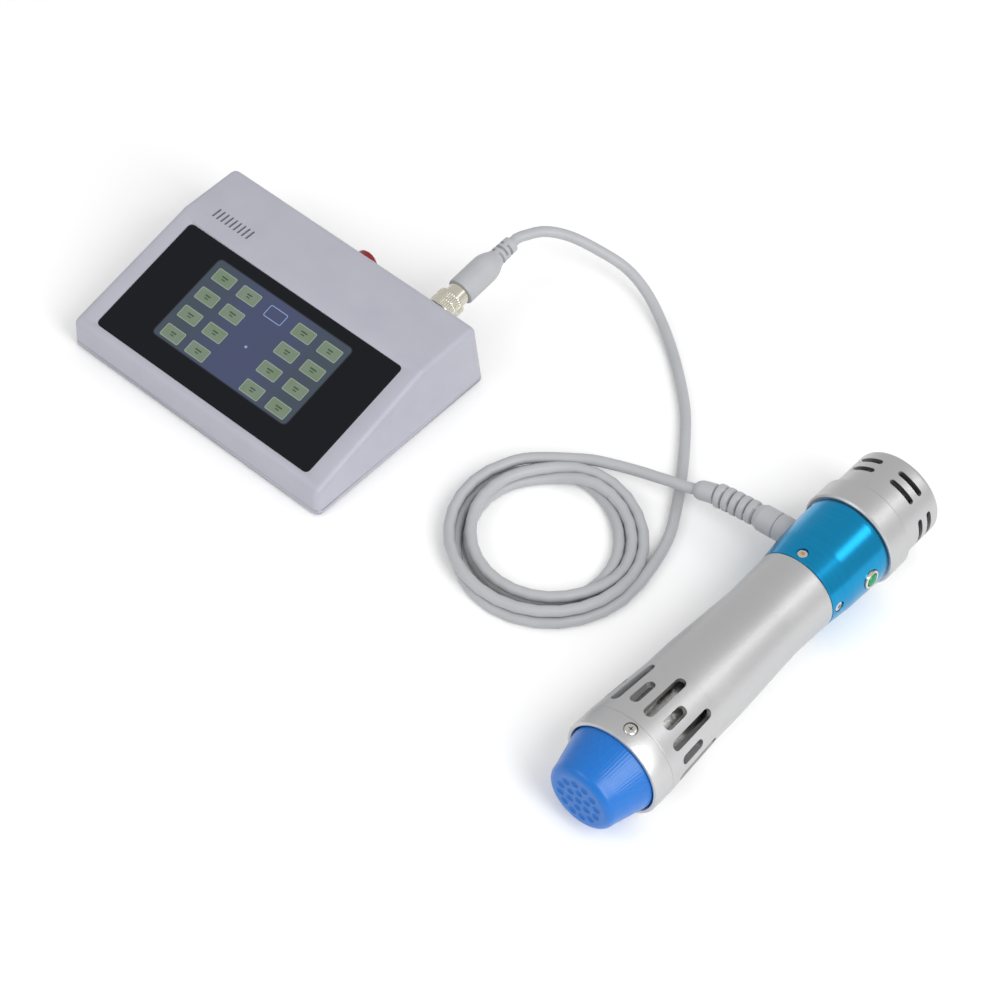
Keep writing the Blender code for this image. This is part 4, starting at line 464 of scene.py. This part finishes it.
# ---------------------------------------------------------------------------------------------------------------
# Socket and plug. A round panel socket with a flange, the knurled coupling ring that screws the plug to it, and a
# grey PVC grip moulded over the plug. The metal is brass under bright nickel.
nickel, tree, shader = new_material("bright_nickel", Base_Color=linear("#D2CEC0"), Metallic=1.0, Roughness=0.22)
_, bump = grain(tree, 0.4, 0.1, 0.02)
tree.links.new(bump.outputs["Normal"], shader.inputs["Normal"])

SOCKET = (57.7, 30.0)


def turned_on(place, name, profile, material, body, sides=96, angle=32.0, ring=False, ripple=None):
    """A turned piece: p(i, u) = place(height(i), u, radius(i)), for a profile of (height, radius) points, in mm.
    A ripple(height, clock) grid is added to the radius. It starts and ends on the axis unless it is a ring."""
    profile = np.array(profile, float)
    clock = np.linspace(0, 360, sides, endpoint=False)
    height, radius = profile[:, 0][:, None], profile[:, 1][:, None]
    if ripple is not None:
        radius = radius + ripple(height, clock[None, :])
    grid = place(height, clock[None, :], radius)
    return piece_of(name, grid, material, body, angle, capped=not ring, looped=ring)


def at_socket(out, clock, radius):
    return on_rear_wall(*SOCKET, out, clock, radius)


def fine(start, end, count, radius_at):
    """Rows between two heights with a radius for each, as (height, radius) pairs."""
    heights = np.linspace(start, end, count)
    return list(zip(heights, radius_at(heights)))


def knurl(height, clock):
    """A straight knurl: 40 rounded teeth, 0.3 mm deep, fading out at the ring's two plain edges."""
    inside = np.clip((height - 3.2) / 0.5, 0, 1) * np.clip((12.0 - height) / 0.5, 0, 1)
    band = (np.abs(height - 7.6) > 0.5)
    return inside * band * 0.3 * (np.abs(np.sin(np.radians(clock) * 20)) - 1.0)


ring_rows = [(13.2, 5.2), (13.2, 8.1), *fine(12.9, 2.6, 48, lambda h: np.full_like(h, 8.5)), (2.2, 8.1), (2.2, 6.2),
             (11.3, 6.2), (11.3, 5.2)]
made = turned_on(at_socket, "knurled_ring", ring_rows, nickel, "coupling_ring", sides=480, ring=True, ripple=knurl,
                 angle=50.0)
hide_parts("coupling_ring")
finished_copy("socket_body", "socket", nickel, "console", bevel=0.2)
made = turned_on(at_socket, "plug_barrel", [(19.47, 0.0), (19.47, 6.3), (19.25, 6.5), (14.0, 6.5), (13.8, 6.3),
                                            (13.8, 4.9), (11.0, 4.9), (11.0, 5.9), (10.3, 5.9), (10.3, 4.4),
                                            (3.3, 4.4), (3.0, 4.1), (3.0, 0.0)], nickel, "plug")
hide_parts("plug_shell")


def relief_cuts(height, clock):
    """Three rings of slits round the strain relief, each broken in two places and turned by a quarter from the
    last."""
    cut = np.zeros(np.broadcast_shapes(height.shape, clock.shape))
    for number, middle in enumerate((50.2, 53.6, 57.0)):
        across = np.clip((0.85 - np.abs(height - middle)) / 0.25, 0, 1)
        bridge = np.abs(np.sin(np.radians(clock - 90 * number)))
        cut = cut - 1.5 * across * np.clip((bridge - 0.25) / 0.12, 0, 1)
    return cut


def grip_radius(h):
    """The grip's outline: straight for 18 mm, then drawn in along a quarter of a cosine over 10 mm."""
    share = np.clip((h - 38.5) / 10.0, 0, 1)
    return 8.1 - 3.0 * (1 - np.cos(share * np.pi / 2)) ** 1.15


grip_rows = [(61.9, 0.0), (61.9, 4.2), (61.6, 4.55), *fine(61.2, 48.6, 80, lambda h: 5.15 - 0.045 * (h - 48.6)),
             *fine(48.3, 20.6, 40, grip_radius), (20.0, 7.9), (19.8, 7.5), (19.8, 0.0)]
made = turned_on(at_socket, "plug_grip", grip_rows, soft_pvc, "plug", sides=120, angle=40.0, ripple=relief_cuts)
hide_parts("plug_overmould")

# ---------------------------------------------------------------------------------------------------------------
# Treatment head. A tapered plug of blue plastic with a flat face full of shallow dimples, and fine lines along its
# side from the mould.


blue_plastic, tree, shader = new_material("blue_acetal", Base_Color=linear("#0564B4"), Roughness=0.3, IOR=1.45)
noise, bump = grain(tree, 0.7, 0.35, 0.05, stretch=(1.0, 60.0, 1.0))
tree.links.new(bump.outputs["Normal"], shader.inputs["Normal"])
varied(tree, shader, noise.outputs["Fac"], "#045CAA", "#0A6CC0")
DIMPLE_ROWS = ((0.0, 1, 2.2, 0.0), (5.8, 6, 2.2, 0.0), (11.2, 12, 2.3, 15.0))


def face_depth(radius, clock):
    """The dimpled face: inside each dimple the depth is 1.0 (1 - d^2/r^2)^0.6 mm, d being the distance to its
    middle. A row is given by its radius, how many dimples it has, their radius and the clock of the first."""
    x, y = radius * np.sin(np.radians(clock)), radius * np.cos(np.radians(clock))
    depth = np.zeros_like(x)
    for reach, count, size, start in DIMPLE_ROWS:
        for step in range(count):
            angle = math.radians(start + 360 * step / count)
            apart = (x - reach * math.sin(angle)) ** 2 + (y - reach * math.cos(angle)) ** 2
            depth = np.maximum(depth, 1.0 * np.clip(1 - apart / size ** 2, 0, 1) ** 0.6)
    return depth


clock = np.linspace(0, 360, 540, endpoint=False)[None, :]
face = np.linspace(0.0, 14.6, 80)[:, None]
face_grid = on_hand(-31.0 + face_depth(face, clock), clock, face)
edge_angle = np.radians(np.linspace(4, 80, 9))[:, None]
edge_grid = on_hand(-26.4 - 4.6 * np.cos(edge_angle), clock, 15.0 + 4.6 * np.sin(edge_angle) + 0 * clock)
station = np.linspace(-24.4, -6.9, 24)[:, None]
ribs = 0.07 * np.abs(np.cos(np.radians(clock) * 45)) * np.clip((station + 25.0) / 3.0, 0, 1)
side_grid = on_hand(station, clock, 20.0 + (station + 24.4) * 0.256 + ribs)
back_grid = on_hand(np.array([-6.5, -2.8, -2.8])[:, None], clock, np.array([24.6, 24.6, 0.0])[:, None])
made = piece_of("treatment_head", np.vstack([face_grid, edge_grid, side_grid, back_grid]), blue_plastic, "head",
                angle=50.0, capped=False)
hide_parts("head_cap")

# ---------------------------------------------------------------------------------------------------------------
# Barrel and nose ring. Turned from aluminium bar, slotted round the front for air, bead-blasted and clear anodised:
# a bright, very even satin with a slight grain.
satin_silver, tree, shader = new_material("satin_anodised_aluminium", Base_Color=linear("#C0C0C1"), Metallic=1.0,
                                          Roughness=0.42)
noise, bump = grain(tree, 0.9, 0.9, 0.07)
tree.links.new(bump.outputs["Normal"], shader.inputs["Normal"])
varied(tree, shader, noise.outputs["Fac"], 0.38, 0.46, "Roughness")


def stadium(length, width, steps=8):
    """The outline of a slot with round ends, in mm, along its length and across it."""
    r = width / 2
    a = np.linspace(-np.pi / 2, np.pi / 2, steps)
    along = np.concatenate([length / 2 - r + r * np.cos(a), -(length / 2 - r) - r * np.cos(a)])
    across = np.concatenate([r * np.sin(a), -r * np.sin(a)])
    return along, across


def slot_tool(name, station, clock, length, width, inner, outer, round_about=False):
    """A tool that cuts a slot through a round wall: its outline, wrapped at two radii. The slot lies along the axis,
    or round about it."""
    along, across = stadium(length, width)
    if round_about:
        along, across = across, along
    bend = math.degrees(1.0) / ((inner + outer) / 2)
    rows = [on_hand(station + along, clock + across * bend, radius) for radius in (inner, outer)]
    return piece_of(name, np.array(rows), None, None)


def carve(piece, tools, angle=32.0):
    """Cuts the tools from a piece for good, and removes them."""
    for tool in tools:
        cut = piece.modifiers.new(tool.name, "BOOLEAN")
        cut.operation, cut.solver, cut.object = "DIFFERENCE", "EXACT", tool
    bpy.context.view_layer.update()
    done = bpy.data.meshes.new_from_object(piece.evaluated_get(bpy.context.evaluated_depsgraph_get()))
    piece.modifiers.clear()
    piece.data = done
    done.shade_smooth()
    done.set_sharp_from_angle(angle=math.radians(angle))
    for tool in tools:
        bpy.data.objects.remove(tool)
    return piece


def barrel_radius(s):
    """The barrel's side: straight runs through the points below, their corners softened by averaging over 9 mm, and
    a step of 0.1 mm behind the slots."""
    stations = [-5.0, 6.2, 45.2, 63.2, 110.0, 137.0, 150.0]
    radii = [28.35, 27.6, 25.1, 24.9, 22.3, 23.1, 23.5]
    runs = [np.interp(s + offset, stations, radii) for offset in np.linspace(-4.5, 4.5, 13)]
    return np.mean(runs, axis=0) - 0.1 / (1 + np.exp(-(s - 44.5) / 0.25))


barrel_rows = [(6.04, 27.4), (6.14, 27.55), *fine(6.4, 136.7, 150, barrel_radius), (137.0, 22.9), (137.0, 20.6),
               (152.9, 20.6), (152.9, 19.25), (48.2, 19.25), (48.2, 22.5), (6.04, 22.5)]
barrel = turned_on(on_hand, "slotted_barrel", barrel_rows, satin_silver, "handpiece", sides=180, ring=True)
vents = []
for number in range(16):
    start, end = (12.5, 42.0) if number % 2 == 0 else (15.0, 31.0)
    vents.append(slot_tool(f"vent_{number}", (start + end) / 2, 7.0 + 22.5 * number, end - start, 5.5, 21.0, 30.0))
carve(barrel, vents)
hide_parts("barrel")

nose = turned_on(on_hand, "front_ring", [(5.96, 25.2), (5.96, 27.5), (5.86, 27.6), (-5.6, 27.6), (-6.2, 27.3),
                                         (-6.5, 26.8), (-6.5, 25.7), (-6.0, 25.2)], satin_silver, "handpiece",
                 sides=180, ring=True)
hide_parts("nose_ring")

# ---------------------------------------------------------------------------------------------------------------
# Screws. Zinc-plated cross-head screws hold the nose ring, and socket-head screws the blue ring.
plated_steel, tree, shader = new_material("zinc_plated_steel", Base_Color=linear("#C9C8C4"), Metallic=1.0,
                                          Roughness=0.26)
_, bump = grain(tree, 0.3, 0.12, 0.02)
tree.links.new(bump.outputs["Normal"], shader.inputs["Normal"])
brass_plate, _, _ = new_material("brass_plate", Base_Color=linear("#C48A4C"), Metallic=1.0, Roughness=0.3)


def radial_place(station, clock):
    """A place function for turned pieces that stand out from the handpiece's axis, at a station and a clock."""
    out = np.array([math.sin(math.radians(clock)), 0.0, math.cos(math.radians(clock))])
    side = np.array([out[2], 0.0, -out[0]])
    lengthwise = np.array([0.0, 1.0, 0.0])
    origin = on_hand(station, 0.0, 0.0)

    def place_at(height, turn, radius):
        height, turn, radius = np.broadcast_arrays(height, np.radians(turn), radius)
        return origin + MM * (height[..., None] * out + (radius * np.cos(turn))[..., None] * side
                              + (radius * np.sin(turn))[..., None] * lengthwise)

    return place_at


def driver_tool(name, place_at, corners, reach, pinch, top, floor):
    """A tool for a driver's recess: r = reach (1 - pinch |sin(n a / 2)|), tapering a little to its floor. Two
    crossed blades have four corners and a strong pinch, and a hexagon six and a weak one."""
    turn = np.arange(0, 360, 5.0)
    shape = 1 - pinch * np.abs(np.sin(np.radians(turn) * corners / 2)) ** 0.35
    rows = [place_at(top, turn, reach * shape), place_at(floor, turn, 0.8 * reach * shape)]
    return piece_of(name, np.array(rows), None, None)


for number in range(3):
    place_at = radial_place(1.6, 6.6 + 120 * number)
    screw = turned_on(place_at, f"cross_screw_{number + 1}",
                      [(27.8, 0.0), (27.76, 1.2), (27.6, 2.2), (27.3, 2.95), (27.0, 3.25), (26.6, 3.3), (26.4, 3.3),
                       (26.4, 1.3), (18.6, 1.3), (18.6, 0.0)], plated_steel, "handpiece", sides=60)
    carve(screw, [driver_tool(f"cross_{number}", place_at, 4, 2.3, 0.78, 28.5, 26.0)])
    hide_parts(f"front_screw_{number + 1}")
    tools = [turned_on(place_at, f"pocket_{number}", [(29.0, 0.0), (29.0, 3.75), (26.0, 3.55), (26.0, 0.0)], None, None,
                       sides=48)]
    carve(nose, tools)

# ---------------------------------------------------------------------------------------------------------------
# Control ring. Aluminium, turned and left with the lathe's fine rings, polished and dyed blue: a deep colour with a
# hard, bright highlight.
blue_anodised, tree, shader = new_material("blue_anodised_aluminium", Base_Color=linear("#1C86B8"), Metallic=1.0,
                                           Roughness=0.24)
noise, bump = grain(tree, 0.35, 0.25, 0.02, stretch=(80.0, 1.0, 80.0))
tree.links.new(bump.outputs["Normal"], shader.inputs["Normal"])
varied(tree, shader, noise.outputs["Fac"], "#1680B2", "#2398C8")


def ring_radius(s):
    """The blue ring's side through (0, 23.1), (15, 24.7), (40, 25.6) and (42.4, 25.3) mm from its front edge."""
    return np.interp(s - 137.4, [0.0, 14.8, 39.8, 42.4], [23.1, 24.7, 25.6, 25.35])


ring = turned_on(on_hand, "blue_ring", [(137.4, 20.9), (137.4, 22.9), *fine(137.6, 179.5, 60, ring_radius),
                                        (179.8, 25.1), (179.8, 20.9)], blue_anodised, "handpiece", sides=180, ring=True)
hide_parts("switch_ring")
tools = []
for number in range(4):
    place_at = radial_place(142.0, -6.0 + 90 * number)
    screw = turned_on(place_at, f"socket_screw_{number + 1}",
                      [(23.3, 0.0), (23.3, 2.3), (23.1, 2.65), (22.4, 2.65), (22.2, 1.2), (19.6, 1.2), (19.6, 0.0)],
                      plated_steel, "handpiece", sides=48)
    carve(screw, [driver_tool(f"hexagon_{number}", place_at, 6, 1.35, 0.13, 24.0, 22.3)])
    screw.data.materials.append(brass_plate)
    floor_faces = [face for face in screw.data.polygons
                   if np.linalg.norm(np.array(face.center) - place_at(22.3, 0.0, 0.0)) < 0.9 * MM]
    for face in floor_faces:
        face.material_index = 1
    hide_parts(f"ring_screw_{number + 1}")
    tools.append(turned_on(place_at, f"seat_{number}", [(26.0, 0.0), (26.0, 3.2), (22.7, 2.95), (22.0, 2.95),
                                                        (22.0, 1.6), (20.2, 1.6), (20.2, 0.0)], None, None, sides=48))

# Trigger. A domed green button in a bright pressed bezel, on the side where the thumb rests.
place_at = radial_place(166.0, 83.0)
green_abs = moulded("gloss_green_abs", "#0E7A4C", "#15905A", 0.2, size=1.0, strength=0.05)
bezel = turned_on(place_at, "bezel", [(25.9, 3.8), (26.1, 4.1), (26.1, 4.6), (25.7, 5.1), (24.6, 5.2), (24.6, 4.3),
                                      (18.5, 4.3), (18.5, 3.8)], nickel, "handpiece", sides=64, ring=True)
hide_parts("trigger_bezel")
button_rows = [(27.3, 0.0), (27.25, 0.9), (27.05, 1.8), (26.7, 2.6), (26.2, 3.2), (25.9, 3.4), (21.1, 3.4), (21.1, 0.0)]
button = turned_on(place_at, "green_button", button_rows, green_abs, "trigger", sides=64, angle=45.0)
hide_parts("trigger_button")
tools.append(turned_on(place_at, "bezel_seat", [(28.0, 0.0), (28.0, 5.5), (24.3, 5.5), (24.3, 4.6), (19.0, 4.6),
                                                (19.0, 0.0)], None, None, sides=64))
place_at = radial_place(GLAND_STATION, GLAND_CLOCK)
tools.append(turned_on(place_at, "gland_seat", [(28.0, 0.0), (28.0, 7.6), (24.1, 7.6), (24.1, 4.8), (18.5, 4.8),
                                                (18.5, 0.0)], None, None, sides=64))
place_at = radial_place(175.1, -62.0)
tools.append(turned_on(place_at, "set_screw_hole", [(27.0, 0.0), (27.0, 2.2), (22.2, 2.2), (22.2, 0.0)], None, None,
                       sides=40))
carve(ring, tools)
set_screw = turned_on(place_at, "set_screw", [(25.15, 0.0), (25.15, 1.7), (24.95, 1.9), (22.6, 1.9), (22.6, 0.0)],
                      plated_steel, "handpiece", sides=40)
carve(set_screw, [driver_tool("set_screw_hexagon", place_at, 6, 1.1, 0.13, 26.0, 24.0)])
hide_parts("gland_set_screw")

# ---------------------------------------------------------------------------------------------------------------
# Gland and boot. The cord enters through a collar and a long boot of the same soft PVC, with ribs cut through on
# alternate sides so that it bends without kinking.
place_at = radial_place(GLAND_STATION, GLAND_CLOCK)
collar = turned_on(place_at, "gland_collar", [(33.0, 0.0), (33.0, 6.9), (32.6, 7.25), (24.4, 7.3),
                                              (24.4, 4.5), (17.1, 4.5), (17.1, 0.0)], soft_pvc, "handpiece", sides=64)
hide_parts("cable_collar")
boot_reach = np.concatenate([[0], np.cumsum(np.linalg.norm(np.diff(boot_line, axis=0), axis=1))]) / MM
u = np.degrees(np.linspace(0, 2 * np.pi, 72, endpoint=False))[None, :]
reach = boot_reach[:, None]
body = np.interp(reach, [0, 0.4, 9.5, 13.4, 13.8, 38.1, 38.3, 46.5, 48.2, 49.6],
                 [6.9, 7.3, 7.2, 5.6, 4.7, 4.7, 5.4, 5.3, 4.9, 4.2])
BEADS_START, BEADS_END, BEAD_PITCH = 13.6, 38.1, 4.9
beads = 4.2 + 2.3 * np.sqrt(np.clip(1 - ((reach - BEADS_START) % BEAD_PITCH / (BEAD_PITCH / 2) - 1) ** 4, 0, 1))
body = np.where((reach > BEADS_START) & (reach < BEADS_END), beads, body)
groove = np.zeros_like(body + u)
for number in range(6):
    across = np.clip((0.75 - np.abs(reach - (BEADS_START + BEAD_PITCH * number))) / 0.2, 0, 1)
    bridge = np.abs(np.cos(np.radians(u - 90 * (number % 2))))
    groove = groove + 0.9 * across * np.clip((bridge - 0.22) / 0.12, 0, 1)
boot = piece_of("ribbed_boot", swept(boot_line, MM * (body - groove), sides=72), soft_pvc, "handpiece", angle=45.0)
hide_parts("cable_boot")

# ---------------------------------------------------------------------------------------------------------------
# Tail collar and cap. Turned aluminium like the barrel; the cap is slotted for the fan's air.
collar = turned_on(on_hand, "rear_collar", [(195.2, 22.0), (195.2, 26.7), (194.3, 27.6), (181.1, 27.6), (180.2, 26.7),
                                            (180.2, 20.4), (174.2, 20.4), (174.2, 18.5), (184.4, 18.5), (184.4, 22.4),
                                            (194.8, 22.4)], satin_silver, "handpiece", sides=180, ring=True)
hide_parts("tail_collar")
edge = np.radians(np.linspace(0, 90, 10))
cap_rows = [(224.0, 0.0), *zip(221.0 + 3 * np.cos(edge), 22.3 + 3 * np.sin(edge)), *fine(220.8, 195.9, 24,
            lambda h: np.full_like(h, 25.3)), (195.6, 25.0), (195.6, 23.1), (217.3, 23.1), (221.8, 18.6), (221.8, 0.0)]
cap = turned_on(on_hand, "slotted_cap", cap_rows, satin_silver, "handpiece", sides=180)
slots = []
for group in range(6):
    for number, station in enumerate((207.5, 214.7)):
        slots.append(slot_tool(f"air_{group}_{number}", station, 24.5 + 60 * group, 15.6, 3.2, 20.0, 28.0, True))
carve(cap, slots)
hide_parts("tail_cap")

# ---------------------------------------------------------------------------------------------------------------
# What shows through the openings, and what only shows when the device is apart: these keep the frame's shapes.
taped_winding, tree, shader = new_material("foil_taped_winding", Base_Color=linear("#B4B3B0"), Metallic=1.0,
                                           Roughness=0.35)
noise, bump = grain(tree, 2.5, 0.8, 0.3)
tree.links.new(bump.outputs["Normal"], shader.inputs["Normal"])
varied(tree, shader, noise.outputs["Fac"], 0.25, 0.5, "Roughness")
machined_steel, tree, shader = new_material("machined_steel", Base_Color=linear("#B8B8B6"), Metallic=1.0,
                                            Roughness=0.3)
_, bump = grain(tree, 0.4, 0.2, 0.02)
tree.links.new(bump.outputs["Normal"], shader.inputs["Normal"])
moulded_rubber = moulded("moulded_rubber", "#1C1C1D", "#242426", 0.8, size=0.6, strength=0.3)
solder_mask = moulded("green_solder_mask", "#14532F", "#1B6138", 0.4, size=2.0, strength=0.1)
dark_display = moulded("dark_display", "#15181F", "#1A1E26", 0.3, size=2.0, strength=0.05)
KEPT = {
    machined_steel: ("base_screw_1", "base_screw_2", "base_screw_3", "base_screw_4", "guide_tube", "striker",
                     "return_spring", "head_pin"),
    satin_silver: ("front_bush",),
    nickel: ("socket_nut",),
    black_nylon: ("coil_bobbin", "fan_frame", "fan_rotor", "trigger_switch", "capacitor_1", "capacitor_2", "speaker"),
    taped_winding: ("coil_winding", "boost_transformer"),
    moulded_rubber: ("rubber_foot_1", "rubber_foot_2", "rubber_foot_3", "rubber_foot_4", "head_oring"),
    solder_mask: ("control_board", "driver_board", "terminal_board"),
    dark_display: ("lcd_module",),
}
for material, names in KEPT.items():
    for name in names:
        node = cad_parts[name]
        node.data.materials.clear()
        node.data.materials.append(material)
